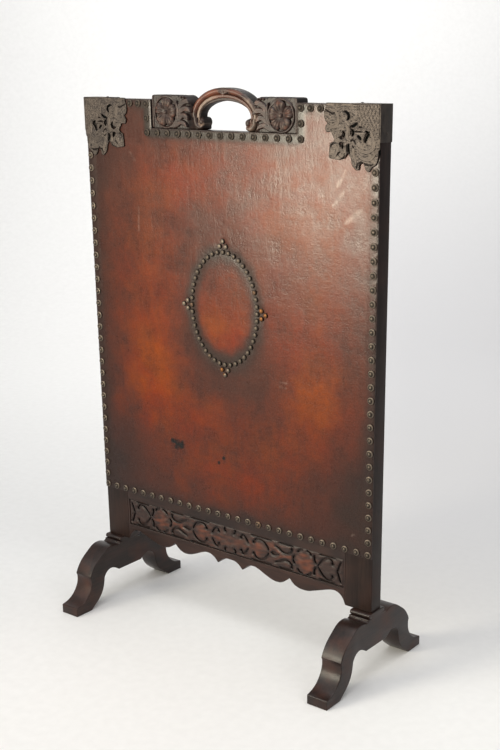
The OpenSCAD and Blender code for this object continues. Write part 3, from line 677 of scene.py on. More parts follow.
# Scuffs, and painted glints of light on scratches (the strokes in the upper right, x 218 to 270): where each stroke
# starts and ends, how pale it is and how wide
scuffsAndGlints = [
    ((224, 799), (233, 811), 0.65, 12), ((232, 806), (239, 823), 0.35, 7), ((218, 771), (229, 780), 0.7, 9),
    ((225, 777), (238, 793), 0.5, 11), ((240, 746), (256, 757), 0.42, 12), ((252, 753), (270, 768), 0.35, 15),
    ((-187, 702), (-185, 742), 0.15, 4), ((-189, 818), (-202, 833), 0.14, 5), ((116, 482), (128, 482), 0.25, 3.5),
    ((117, 474), (128, 473), 0.25, 3.5), ((261, 248), (265, 251), 0.14, 5),
]
ovalMark = {
    "middle": (0, 589),
    "reach": (71, 92),
    "haloAbove": 0.2,
    "haloBelow": 0.42,
    "rimInside": (0.7, 0.98),
    "wax": 0.65,
}


def paintLeather(x, z, inside, band):
    finish = {"band": band * ease(z, 840, 862) * (np.abs(x) < 170) * ease(inside, 1.0, 3.5)}
    # The stains' outlines wander, as a dye's do
    wx = x + 9 * unevenness(x, z, 70, 51) + 3 * unevenness(x, z, 22, 52)
    wz = z + 9 * unevenness(x, z, 70, 53) + 3 * unevenness(x, z, 22, 54)
    for key, spots in leatherStains.items():
        total = np.zeros(x.shape)
        for middle, reach, strength, lean in spots:
            small = min(reach) < 20
            total += stain(x if small else wx, z if small else wz, middle, reach, strength, lean)
        finish[key] = np.clip(total, 0, 1)
    # A dark halo round the oval of studs, and the warm field inside it
    mark = ovalMark
    ox, oz = (x - mark["middle"][0]) / mark["reach"][0], (z - mark["middle"][1]) / mark["reach"][1]
    ring = np.hypot(ox, oz) + 0.02 * unevenness(x, z, 30, 55)
    width = mark["haloAbove"] + (mark["haloBelow"] - mark["haloAbove"]) * ease(-oz, -0.3, 1.0)
    halo = np.where(ring > 1, np.exp(-((ring - 1) / width) ** 2), ease(ring, *mark["rimInside"]))
    # Old wax lies grey round the small studs
    finish["band"] = np.maximum(finish["band"], mark["wax"] * np.exp(-((ring - 1) / 0.13) ** 2))
    finish["burn"] = np.clip(np.maximum(finish["burn"] * (ring > 0.9), 0.85 * halo), 0, 1)
    field = 1 - ease(ring, 0.6, 0.95)
    finish["glow"] = np.maximum(finish["glow"] * (ring > 0.85), field * (0.85 - 0.6 * ease(oz, -0.3, 0.5)))
    finish["edge"] = 0.6 * (1 - ease(inside, 6, 24)) + 0.4 * (1 - ease(inside, 1.5, 5))
    # Dirt and painted shade under the mounts, where their holes show the hide: the hide there is darkened
    dirtAndShadeUnderMounts = ease(np.abs(x), 232, 238) * ease(z, 843, 849)
    for cut in ((233, 875), (235, 860)):
        dirtAndShadeUnderMounts = np.maximum(dirtAndShadeUnderMounts, stain(np.abs(x), z, cut, (6, 8), 1.2))
    finish["dirt"] = np.clip(dirtAndShadeUnderMounts, 0, 1)
    # Pale strokes: scuffs, and painted glints of light in the upper right
    finish["scuffAndGlint"] = np.zeros(x.shape)
    for start, end, pale, width in scuffsAndGlints:
        across, _ = strokeField(x, z, [start, end], width)
        finish["scuffAndGlint"] = np.maximum(finish["scuffAndGlint"], pale * (1 - ease(across, 0.0, 1.0)))
    return finish


# Vegetable tanned hide, waxed and old: a close pebbled grain, mottled tan burnished darker by use,
# and a gloss that is soft and broken by fine rubbing marks
leatherLook = {
    "plain": "#432218",
    "tan": "#662208",
    "ochre": "#6c2f08",
    "dark": "#2a1e1a",
    "bandBrown": "#2d2621",
    "scuffAndGlint": "#a5968a",
    "ink": "#0e100f",
    "grain": 2.2,
    "mottle": 26.0,
    "specular": (0.15, 0.29),
    # Spots of ink: their middles in metres and their reach
    "inkSpots": [((-0.113, -0.016, 0.332), 0.0085), ((-0.124, -0.016, 0.337), 0.0055),
                 ((-0.104, -0.016, 0.335), 0.006), ((-0.008, -0.016, 0.327), 0.0029),
                 ((-0.019, -0.016, 0.317), 0.0029)],
}


def makeLeather(look):
    material, tree, shader, place = startMaterial("old waxed hide")

    def read(key):
        return put(tree, "ShaderNodeAttribute", {"attribute_name": key}).outputs["Fac"]

    mottle = put(tree, "ShaderNodeTexNoise",
                 values={"Scale": 1000 / look["mottle"] / 2, "Detail": 6, "Roughness": 0.7},
                 links={"Vector": place})
    # Rubbing marks run up and down the hide, and some across it
    last = mottle.outputs["Fac"]
    for squeeze, share in (((1, 1, 0.2), 0.26), ((0.2, 1, 1), 0.14)):
        stretched = put(tree, "ShaderNodeMapping", values={"Scale": squeeze}, links={"Vector": place})
        rubbing = put(tree, "ShaderNodeTexNoise", values={"Scale": 150, "Detail": 4, "Roughness": 0.6},
                      links={"Vector": stretched.outputs["Vector"]})
        centred = put(tree, "ShaderNodeMath", {"operation": "SUBTRACT"}, {1: 0.5}, {0: rubbing.outputs["Fac"]})
        uneven = put(tree, "ShaderNodeMath", {"operation": "MULTIPLY_ADD"}, {1: share},
                     {0: centred.outputs[0], 2: last})
        last = uneven.outputs[0]
    broken = put(tree, "ShaderNodeMapRange",
                 values={"From Min": 0.25, "From Max": 0.75, "To Min": -0.22, "To Max": 0.22},
                 links={"Value": uneven.outputs[0]})
    # The tan runs from red to ochre in clouds as broad as a hand
    cloud = put(tree, "ShaderNodeTexNoise", values={"Scale": 14, "Detail": 5, "Roughness": 0.6},
                links={"Vector": place})
    painted = put(tree, "ShaderNodeMath", {"operation": "MULTIPLY_ADD"}, {1: 0.24},
                  {0: read("ochre"), 2: cloud.outputs["Fac"]})
    turned = put(tree, "ShaderNodeMapRange", values={"From Min": 0.44, "From Max": 0.74},
                 links={"Value": painted.outputs[0]})
    warm = put(tree, "ShaderNodeMix", {"data_type": "RGBA"},
               {6: linear(look["tan"]), 7: linear(look["ochre"])}, {0: turned.outputs["Result"]})
    last = None
    for key, tone, least, most in (("glow", "tan", 0.04, 1.0), ("burn", "dark", 0.1, 0.96)):
        factor = put(tree, "ShaderNodeMath", {"operation": "ADD"}, None,
                     {0: read(key), 1: broken.outputs["Result"]})
        held = put(tree, "ShaderNodeMapRange", values={"From Min": least, "From Max": 1.0, "To Max": most},
                   links={"Value": factor.outputs[0]})
        mix = put(tree, "ShaderNodeMix", {"data_type": "RGBA"},
                  {6: linear(look["plain"]), 7: linear(look[tone])}, {0: held.outputs["Result"]})
        if last:
            tree.links.new(last, mix.inputs[6])
        else:
            tree.links.new(warm.outputs[2], mix.inputs[7])
        last = mix.outputs[2]
    edged = put(tree, "ShaderNodeMix", {"data_type": "RGBA"}, {7: linear(look["dark"])},
                {0: read("edge"), 6: last})
    banded = put(tree, "ShaderNodeMix", {"data_type": "RGBA"}, {7: linear(look["bandBrown"])},
                 {0: read("band"), 6: edged.outputs[2]})
    # Scuffs and painted glints of light on scratches are pale strokes that the grain breaks up
    patchy = put(tree, "ShaderNodeMapRange", values={"From Min": 0.38, "From Max": 0.62},
                 links={"Value": uneven.outputs[0]})
    worn = put(tree, "ShaderNodeMath", {"operation": "MULTIPLY"}, None,
               {0: read("scuffAndGlint"), 1: patchy.outputs["Result"]})
    withScuffsAndGlints = put(tree, "ShaderNodeMix", {"data_type": "RGBA"}, {7: linear(look["scuffAndGlint"])},
                  {0: worn.outputs[0], 6: banded.outputs[2]})
    # Ink has run into the grain round each spot
    run = put(tree, "ShaderNodeTexNoise", values={"Scale": 150, "Detail": 3}, links={"Vector": place})
    spread = put(tree, "ShaderNodeMath", {"operation": "MULTIPLY_ADD"}, {1: 2.6, 2: -1.3},
                 {0: run.outputs["Fac"]})
    last = withScuffsAndGlints.outputs[2]
    for spot, reach in look["inkSpots"]:
        away = put(tree, "ShaderNodeVectorMath", {"operation": "DISTANCE"}, {1: spot}, {0: place})
        share = put(tree, "ShaderNodeMath", {"operation": "MULTIPLY_ADD"}, {1: 1 / reach},
                    {0: away.outputs["Value"], 2: spread.outputs[0]})
        wet = put(tree, "ShaderNodeMapRange",
                  values={"From Min": 0.6, "From Max": 1.2, "To Min": 0.95, "To Max": 0.0},
                  links={"Value": share.outputs[0]})
        inked = put(tree, "ShaderNodeMix", {"data_type": "RGBA"}, {7: linear(look["ink"])},
                    {0: wet.outputs["Result"], 6: last})
        last = inked.outputs[2]
    # The hide under the mounts is darkened towards the ink colour, as dirt and painted shade
    dirtyAndShaded = put(tree, "ShaderNodeMix", {"data_type": "RGBA"}, {7: linear(look["ink"])},
                {0: read("dirt"), 6: last})
    last = dirtyAndShaded.outputs[2]
    # The pits between the grain's pebbles hold dark wax and don't shine, nor do the dirt and painted shade under the
    # mounts
    pebble = put(tree, "ShaderNodeTexVoronoi", {"feature": "SMOOTH_F1"},
                 {"Scale": 1000 / look["grain"], "Smoothness": 0.5}, {"Vector": place})
    pits = put(tree, "ShaderNodeMapRange",
               values={"From Min": 0.2, "From Max": 0.7, "To Min": 1.06, "To Max": 0.84},
               links={"Value": pebble.outputs["Distance"]})
    shade = put(tree, "ShaderNodeMapRange",
                values={"From Min": 0.25, "From Max": 0.75, "To Min": 0.7, "To Max": 1.3},
                links={"Value": uneven.outputs[0]})
    toned = put(tree, "ShaderNodeMath", {"operation": "MULTIPLY"}, None,
                {0: pits.outputs["Result"], 1: shade.outputs["Result"]})
    final = put(tree, "ShaderNodeMix", {"data_type": "RGBA", "blend_type": "MULTIPLY"}, {0: 1.0},
                {6: last, 7: toned.outputs[0]})
    tree.links.new(final.outputs[2], shader.inputs["Base Color"])
    gloss = put(tree, "ShaderNodeMapRange",
                values={"From Min": 0.25, "From Max": 0.75, "To Min": 0.24, "To Max": 0.34},
                links={"Value": uneven.outputs[0]})
    tree.links.new(gloss.outputs["Result"], shader.inputs["Roughness"])
    wax = put(tree, "ShaderNodeMapRange",
              values={"From Min": 0.25, "From Max": 0.75,
                      "To Min": look["specular"][1], "To Max": look["specular"][0]},
              links={"Value": uneven.outputs[0]})
    clean = put(tree, "ShaderNodeMath", {"operation": "SUBTRACT"}, None,
                {0: pits.outputs["Result"], 1: read("dirt")})
    glossy = put(tree, "ShaderNodeMath", {"operation": "MULTIPLY", "use_clamp": True}, None,
                 {0: wax.outputs["Result"], 1: clean.outputs[0]})
    tree.links.new(glossy.outputs[0], shader.inputs["Specular IOR Level"])
    pebbled = put(tree, "ShaderNodeBump", values={"Strength": 0.18, "Distance": 0.0005},
                  links={"Height": pebble.outputs["Distance"]})
    bump = put(tree, "ShaderNodeBump", values={"Strength": 0.4, "Distance": 0.0016},
               links={"Height": uneven.outputs[0], "Normal": pebbled.outputs["Normal"]})
    tree.links.new(bump.outputs["Normal"], shader.inputs["Normal"])
    return material


hide = makeLeather(leatherLook)
guides = [bandLine(leatherPlan["bandWidth"] + s * leatherPlan["bandStep"], leatherPlan) for s in (-1, 0, 1)]
guides += [scuffAndGlint[:2] for scuffAndGlint in scuffsAndGlints]
leather = addPiece("leather", carve("leather", edgesAt("leather_front", leatherPlan["back"]),
                                    leatherPlan["back"], leatherPlan["gridStep"], leatherSurface, guides),
                   hide, ["leather_front", "leather_banding"])
print("leather made")


# Studs: domed heads with a turned-up rim

# Dark bronze studs: brown patina in the hollows, rubbed bright on the rim and the crown
def makeBronze():
    material, tree, shader, place = startMaterial("patinated bronze")
    # The wear attribute also carries painted shade: the small studs' dark skirts and the crest row's darker studs
    wearAndShade = put(tree, "ShaderNodeAttribute", {"attribute_name": "wearAndShade"}).outputs["Fac"]
    age = put(tree, "ShaderNodeAttribute", {"attribute_name": "age"}).outputs["Fac"]
    patches = put(tree, "ShaderNodeTexNoise", values={"Scale": 420, "Detail": 4}, links={"Vector": place})
    held = put(tree, "ShaderNodeMath", {"operation": "MULTIPLY_ADD"}, {1: 0.5},
               {0: patches.outputs["Fac"], 2: wearAndShade})
    rubbed = put(tree, "ShaderNodeMapRange", values={"From Min": 0.4, "From Max": 1.15},
                 links={"Value": held.outputs[0]})
    # Very few studs still show their gold
    gilt = put(tree, "ShaderNodeMapRange", values={"From Min": 0.97, "From Max": 0.99}, links={"Value": age})
    bright = put(tree, "ShaderNodeMix", {"data_type": "RGBA"},
                 {6: linear("#75695d"), 7: linear("#82542b")}, {0: gilt.outputs["Result"]})
    colour = put(tree, "ShaderNodeMix", {"data_type": "RGBA"}, {6: linear("#25201c")},
                 {0: rubbed.outputs["Result"], 7: bright.outputs[2]})
    tree.links.new(colour.outputs[2], shader.inputs["Base Color"])
    shader.inputs["Metallic"].default_value = 0.8
    gloss = put(tree, "ShaderNodeMapRange", values={"To Min": 0.62, "To Max": 0.48},
                links={"Value": rubbed.outputs["Result"]})
    tree.links.new(gloss.outputs["Result"], shader.inputs["Roughness"])
    return material


# A stud's profile: distance from the axis and height, as shares of its diameter and height, and wear; the small
# studs' dark skirts are painted shade
studShapes = {
    "large": {
        "profile": [
            (0.5, 0.0, 0.1), (0.5, 0.16, 0.6), (0.46, 0.38, 1.0), (0.39, 0.53, 0.8), (0.33, 0.58, 0.2),
            (0.27, 0.66, 0.1), (0.19, 0.86, 0.35), (0.1, 0.97, 0.55), (0.0, 1.0, 0.6),
        ],
        "size": (12.2, 3.6),
    },
    "small": {
        "profile": [
            (0.5, 0.0, 0.0), (0.5, 0.3, 0.0), (0.44, 0.6, 0.25), (0.31, 0.85, 0.45), (0.16, 0.97, 0.4),
            (0.0, 1.0, 0.35),
        ],
        "size": (8.8, 3.0),
    },
}


def makeStudTemplate(name, shape):
    points, wearAndShade, faces = [], [], []
    sides, profile, size = 20, shape["profile"][:-1], shape["size"]
    for r, h, w in profile:
        for k in range(sides):
            t = 2 * math.pi * k / sides
            points.append((r * size[0] * mm * math.cos(t), -h * size[1] * mm, r * size[0] * mm * math.sin(t)))
            wearAndShade.append(w)
    for i in range(len(profile) - 1):
        for k in range(sides):
            a, b = i * sides + k, i * sides + (k + 1) % sides
            faces.append((a, b, b + sides, a + sides))
    points.append((0, -size[1] * mm, 0))
    wearAndShade.append(shape["profile"][-1][2])
    top = (len(profile) - 1) * sides
    faces += [(top + k, top + (k + 1) % sides, len(points) - 1) for k in range(sides)]
    faces.append(tuple(reversed(range(sides))))
    mesh = bpy.data.meshes.new(name)
    mesh.from_pydata(points, [], faces)
    mesh.attributes.new("wearAndShade", "FLOAT", "POINT").data.foreach_set("value", wearAndShade)
    mesh.shade_smooth()
    mesh.set_sharp_from_angle(angle=math.radians(60))
    return bpy.data.objects.new(name, mesh)


# Geometry Nodes: one template on each point, turned and sized a little differently each time
def makeScatter():
    tree = bpy.data.node_groups.new("set on points", "GeometryNodeTree")
    for name, kind in (("Points", "NodeSocketGeometry"), ("Template", "NodeSocketObject"),
                       ("Tilt", "NodeSocketFloat"), ("Size change", "NodeSocketFloat"),
                       ("Seed", "NodeSocketInt"), ("Finish", "NodeSocketMaterial")):
        tree.interface.new_socket(name, in_out="INPUT", socket_type=kind)
    tree.interface.new_socket("Result", in_out="OUTPUT", socket_type="NodeSocketGeometry")
    given = put(tree, "NodeGroupInput").outputs
    template = put(tree, "GeometryNodeObjectInfo", links={"Object": given["Template"]})
    back = put(tree, "ShaderNodeMath", {"operation": "MULTIPLY"}, {1: -1}, {0: given["Tilt"]})
    low = put(tree, "ShaderNodeCombineXYZ", values={"Y": -math.pi},
              links={"X": back.outputs[0], "Z": back.outputs[0]})
    high = put(tree, "ShaderNodeCombineXYZ", values={"Y": math.pi},
               links={"X": given["Tilt"], "Z": given["Tilt"]})
    turn = put(tree, "FunctionNodeRandomValue", {"data_type": "FLOAT_VECTOR"}, None,
               {0: low.outputs[0], 1: high.outputs[0], "Seed": given["Seed"]})
    least = put(tree, "ShaderNodeMath", {"operation": "SUBTRACT"}, {0: 1}, {1: given["Size change"]})
    size = put(tree, "FunctionNodeRandomValue", {"data_type": "FLOAT"}, {3: 1.0},
               {2: least.outputs[0], "Seed": given["Seed"]})
    placed = put(tree, "GeometryNodeInstanceOnPoints", None, None,
                 {"Points": given["Points"], "Instance": template.outputs["Geometry"],
                  "Rotation": turn.outputs[0], "Scale": size.outputs[1]})
    age = put(tree, "FunctionNodeRandomValue", {"data_type": "FLOAT"}, {2: 0.0, 3: 1.0},
              {"Seed": given["Seed"]})
    aged = put(tree, "GeometryNodeStoreNamedAttribute", {"data_type": "FLOAT", "domain": "INSTANCE"},
               {"Name": "age"}, {"Geometry": placed.outputs[0], "Value": age.outputs[1]})
    real = put(tree, "GeometryNodeRealizeInstances", links={"Geometry": aged.outputs[0]})
    finished = put(tree, "GeometryNodeSetMaterial",
                   links={"Geometry": real.outputs[0], "Material": given["Finish"]})
    put(tree, "NodeGroupOutput", links={"Result": finished.outputs[0]})
    return tree


# Runs a tree on a set of points and returns the plain mesh that it makes
def runNodes(name, points, tree, values):
    mesh = bpy.data.meshes.new(name + "_points")
    mesh.from_pydata(points, [], [])
    obj = bpy.data.objects.new(name + "_points", mesh)
    bpy.context.scene.collection.objects.link(obj)
    modifier = obj.modifiers.new("nodes", "NODES")
    modifier.node_group = tree
    sockets = {s.name: s.identifier for s in tree.interface.items_tree if s.in_out == "INPUT"}
    for key, value in values.items():
        modifier[sockets[key]] = value
    bpy.context.view_layer.update()
    made = bpy.data.meshes.new_from_object(obj.evaluated_get(bpy.context.evaluated_depsgraph_get()))
    made.name = name
    bpy.data.objects.remove(obj)
    return made


bronze = makeBronze()
scatter = makeScatter()
largeStud = makeStudTemplate("large_stud", studShapes["large"])
smallStud = makeStudTemplate("small_stud", studShapes["small"])
# Each row: its template, its seed and how much of the wear it shows; the crest row's half share paints its studs
# darker, as shade
studRows = [
    ("studs_left", largeStud, 11, 1.0), ("studs_right", largeStud, 12, 0.9), ("studs_bottom", largeStud, 13, 0.9),
    ("studs_crest", largeStud, 14, 0.5), ("medallion_studs", smallStud, 15, 1.0),
    ("medallion_clusters", smallStud, 16, 1.5),
]
# The clusters at the right and at the foot of the oval have kept their gold
giltSpots = [(0.084, -0.017, 0.589), (-0.012, -0.017, 0.483)]
for name, template, seed, share in studRows:
    made = runNodes(name + "_heads", centresOf(name), scatter,
                    {"Template": template, "Tilt": math.radians(4), "Size change": 0.05, "Seed": seed,
                     "Finish": bronze})
    for vert in made.vertices if name == "medallion_clusters" else ():
        nearest = min((vert.co - Vector(spot)).length for spot in giltSpots)
        made.attributes["age"].data[vert.index].value = 1 if nearest < 0.013 else 0
    for held in made.attributes["wearAndShade"].data:
        held.value *= share
    addPiece(name + "_heads", made, bronze, [name])
for template in (largeStud, smallStud):
    bpy.data.objects.remove(template)
print("studs made")


# Pierced band: sawn through, its scrolls rounded over and worn warm on the high places

fretPlan = {
    "middle": 175.3,
    "face": -13.7,
    "roundOver": 1.7,
    "roundWidth": 1.7,
    "lowEdge": 150.6,
}


def fretSurface(x, z, distance):
    plan = fretPlan
    v = np.abs(z - plan["middle"])
    u = np.abs(x)
    swell = 0.35 * unevenness(u, v, 15, 21) * ease(distance, 0.5, 4)
    depth = plan["face"] + plan["roundOver"] * np.exp(-distance / plan["roundWidth"]) - swell
    worn = stain(u, v, (165, 0), (15, 17)) + stain(u, v, (118, 0), (20, 7), 0.8)
    worn += stain(u, v, (62, 4), (11, 15), 0.8) + stain(u, v, (25, 0), (22, 8), 0.5)
    worn += stain(x, z, (95, 185), (18, 9), 0.6) + stain(x, z, (180, 168), (22, 14), 0.6)
    worn = 0.7 * worn + 0.2 * ease(u, 215, 120)
    worn *= 0.8 + 0.35 * unevenness(x, 2.5 * z, 26, 22)
    # Painted shade: darker close to the cut edges, and in a line along the low edge where the band is let into the
    # rail
    low = np.exp(-((z - plan["lowEdge"]) / 1.6) ** 2)
    return depth, {"worn": np.clip(worn, 0, 1) * ease(distance, 0.6, 3.0),
                   "hollow": np.clip(np.exp(-distance / 1.3) + low, 0, 1)}


# Carved wood, oiled and dusted by age: black brown in its hollows and along its cut edges, as dust and painted
# shade, rubbed to a warm brown where hands and cloths reach, and greyed on the ridges with old wax and painted
# highlight
def makeCarvedWood(name, look):
    material, tree, shader, place = startMaterial(name)

    def read(key):
        return put(tree, "ShaderNodeAttribute", {"attribute_name": key}).outputs["Fac"]

    grain = put(tree, "ShaderNodeMapping", values={"Scale": (0.12, 1, 1)}, links={"Vector": place})
    figure = put(tree, "ShaderNodeTexNoise", values={"Scale": 260, "Detail": 4, "Distortion": 0.5},
                 links={"Vector": grain.outputs["Vector"]})
    tone = put(tree, "ShaderNodeValToRGB", links={"Fac": figure.outputs["Fac"]},
               stops=[(0.3, look["dark"]), (0.68, look["middle"])])
    last = tone.outputs["Color"]
    for key, colour, most in (("pale", "waxed", 0.9), ("worn", "rubbed", look["rubbedMost"])):
        factor = put(tree, "ShaderNodeMath", {"operation": "MULTIPLY_ADD"}, {1: 0.5},
                     {0: figure.outputs["Fac"], 2: read(key)})
        share = put(tree, "ShaderNodeMapRange", values={"From Min": 0.38, "From Max": 1.2, "To Max": most},
                    links={"Value": factor.outputs[0]})
        mix = put(tree, "ShaderNodeMix", {"data_type": "RGBA"}, {7: linear(look[colour])},
                  {0: share.outputs["Result"], 6: last})
        last = mix.outputs[2]
    # The hollow attribute darkens the colour as dirt and painted shade
    grimeAndShade = put(tree, "ShaderNodeMix", {"data_type": "RGBA"}, {7: linear(look["hollow"])},
                {0: read("hollow"), 6: last})
    tree.links.new(grimeAndShade.outputs[2], shader.inputs["Base Color"])
    gloss = put(tree, "ShaderNodeMapRange", values={"To Min": 0.5, "To Max": 0.34},
                links={"Value": read("worn")})
    tree.links.new(gloss.outputs["Result"], shader.inputs["Roughness"])
    shader.inputs["Specular IOR Level"].default_value = look["specular"]
    bump = put(tree, "ShaderNodeBump", values={"Strength": 0.3, "Distance": 0.0005},
               links={"Height": figure.outputs["Fac"]})
    tree.links.new(bump.outputs["Normal"], shader.inputs["Normal"])
    return material


# The hollow colour also serves as painted shade
walnutLook = {
    "dark": "#221613",
    "middle": "#38251f",
    "rubbed": "#663622",
    "waxed": "#6d5a50",
    "hollow": "#120b09",
    "rubbedMost": 0.75,
    "specular": 0.3,
}
walnut = makeCarvedWood("oiled walnut", walnutLook)
addPiece("fret_band", carve("fret_band", edgesAt("fret_panel", -14.0), -10.0, 0.6, fretSurface),
         walnut, ["fret_panel"])


# Carved crest: a moulded handle that curls into volutes, a rosette in a ring, and a leaf on each side

crestPlan = {
    "handleFace": -2.0,
    "blockFace": -11.5,
    "notch": 872.0,
    "halfWidth": 149.0,
    "blockHeight": 53.0,
    "handleOutside": (68.0, 65.5),
    "spring": 21.0,
    "groundSlope": 8.5,
    "rollWidth": 9.4,
    "filletWidth": 6.8,
    "volute": (47.8, 12.6),
    "ball": 6.4,
    "rosette": (118.0, 26.0),
    "ringRadius": 24.3,
    "petalReach": 22.6,
}
# Each petal: its direction and half its spread in degrees, and its height in millimetres
petals = [(100, 43, 5.2), (20, 38, 4.4), (-56, 44, 6.0), (-126, 36, 4.6), (171, 40, 5.8)]
# The leaf's lobes, from their root to their tip, and how wide each is
leafLobes = [
    ([(94, 25), (89, 34), (81, 41), (71, 44), (64, 41)], 10.0),
    ([(93, 18), (87, 27), (79, 32), (71, 32), (65, 28)], 9.5),
    ([(94, 10), (87, 18), (80, 22), (74, 20), (71, 16)], 9.0),
    ([(104, 3), (94, 7), (86, 11), (78, 9), (73, 5)], 8.5),
    ([(112, 2.5), (100, 6), (93, 16), (91, 28), (94, 44)], 5.0),
]
leafBeads = [(57.5, 48.8), (62.5, 50.2), (68, 50.6), (73.5, 50.6), (79, 50.5), (84.5, 50.2)]


# The handle's line drawn in from its outside, down one side
def handleLine(inset, plan):
    a = plan["handleOutside"][0] - inset
    h = plan["handleOutside"][1] - inset - plan["spring"]
    line = [(a * math.sin(t), plan["spring"] + h * math.cos(t)) for t in np.linspace(0, math.pi / 2, 40)]
    return line


# The scroll in which a moulding ends, curling in round the ball
def voluteLine(start, end, turn, plan):
    cx, cz = plan["volute"]
    line = [(start, plan["spring"])]
    for t in np.linspace(0.1, 1, 16):
        radius = (start - cx) * (1 - t) + end * t
        angle = math.radians(30 - (turn + 30) * t)
        line.append((cx + radius * math.cos(angle), cz + radius * math.sin(angle)))
    return line


# The block's ground rises from behind the handle's roll: this is its share of the full height
def groundShare(u, v, plan):
    a, h = plan["handleOutside"]
    off = a * (np.hypot(u / a, np.maximum(v - plan["spring"], 0) / (h - plan["spring"])) - 1)
    return ease(off, -plan["groundSlope"], plan["groundSlope"])


def dome(gap, radius, height):
    return height * np.sqrt(np.clip(1 - (gap / radius) ** 2, 0, 1))


def rosetteHeight(px, pz, plan):
    rho, theta = np.hypot(px, pz), np.arctan2(pz, px)
    height = np.full(px.shape, -1.6)
    for turn, spread, lift in petals:
        phi = ((theta - math.radians(turn) + math.pi) % (2 * math.pi) - math.pi) / math.radians(spread)
        edge = plan["petalReach"] * (1 - 0.3 * np.abs(phi) ** 3.2)
        t = np.clip(rho / edge, 0, 1)
        # Low in the middle, rising to a lip that rolls over
        cupped = 0.18 + 0.82 * np.sin(0.86 * math.pi * t ** 1.7)
        flutes = 0.75 * np.cos(phi * math.pi * 3.5) * ease(t, 0.25, 0.6)
        petal = (lift * cupped + flutes) * np.sqrt(np.clip(1 - phi ** 6, 0, 1))
        height = np.where((np.abs(phi) < 1) & (rho < edge), np.maximum(height, petal), height)
    height = np.maximum(height, np.where(rho < 5.4, 1.2, -9))
    return np.maximum(height, dome(rho, 4.0, 5.0))


def crestHeight(x, z, distance, plan):
    u = np.abs(x)
    v = z - plan["notch"]
    ground = groundShare(u, v, plan)
    height = 0.25 * unevenness(x, v, 5, 31) * ground
    px, pz = u - plan["rosette"][0], v - plan["rosette"][1]
    rho, theta = np.hypot(px, pz), np.arctan2(pz, px)
    height = np.where(rho < plan["ringRadius"], rosetteHeight(px, pz, plan), height)
    # The ring is a scroll that opens towards the leaf
    openUp = 1 - 0.85 * np.exp(-((theta - math.radians(128)) / 0.45) ** 2)
    height = np.maximum(height, np.where(np.abs(rho - plan["ringRadius"]) < 2.2,
                                         dome(rho - plan["ringRadius"], 2.2, 2.9) * openUp, -9))
    # Plain strip at the block's end
    height = np.maximum(height, 1.5 * ease(u, plan["halfWidth"] - 5, plan["halfWidth"] - 3.6))
    rise = plan["handleFace"] - plan["blockFace"]
    height += rise * ground
    # Lobes that stand off the block, each with a vein, highest at its tip
    for points, width in leafLobes:
        across, along = strokeField(u, v, smoothCurve(points), width, 0.35)
        lobe = rise + 4.6 * np.sqrt(np.clip(1 - across ** 2, 0, 1)) * (0.65 + 0.35 * along)
        lobe += (0.35 * np.cos(across * 9.4) - 0.9 * np.exp(-(across / 0.15) ** 2)) * ease(across, 1.0, 0.8)
        height = np.where(across < 1, np.maximum(height, lobe), height)
    for bx, bz in leafBeads:
        gap = np.hypot(u - bx, v - bz)
        height = np.where(gap < 2.7, np.maximum(height, rise + dome(gap, 2.7, 3.4)), height)
    # Handle: a round roll, a groove, a narrow fillet, and the scroll with its ball
    roll, _ = strokeField(u, v, handleLine(plan["rollWidth"] / 2, plan), plan["rollWidth"] + 0.6, 1.0)
    tail, _ = strokeField(u, v, voluteLine(62.0, 7.5, 100, plan), 9.6, 0.8)
    roll = np.minimum(roll, tail)
    onRoll = (roll < 1) & (height < rise)
    height = np.where(onRoll, np.maximum(height, dome(roll, 1, 6.6)), height)
    inset = plan["rollWidth"] + plan["filletWidth"] / 2
    fillet, _ = strokeField(u, v, handleLine(inset, plan), plan["filletWidth"] - 0.6, 1.0)
    inner, _ = strokeField(u, v, voluteLine(53.5, 5.5, 150, plan), 3.6, 0.8)
    fillet = np.minimum(fillet, inner)
    height = np.maximum(height, np.where(fillet < 1, 3.8 * np.clip(1 - fillet ** 4, 0, 1) ** 0.5, -9))
    ball = np.hypot(u - plan["volute"][0], v - plan["volute"][1])
    height = np.maximum(height, dome(ball, plan["ball"], 7.0))
    # A small leaf carved on the middle of the arch
    for lean in (-1, 0, 1):
        line = [(0, 55), (4.5 * lean, 58.5), (9.5 * lean, 60.5 - 1.5 * abs(lean))]
        across, _ = strokeField(x, v, line, 4.6, 0.5)
        height = np.where(across < 1, np.maximum(height, 4.4 + dome(across, 1, 3.2)), height)
    return height - 1.0 * np.exp(-distance / 0.6), fillet, roll


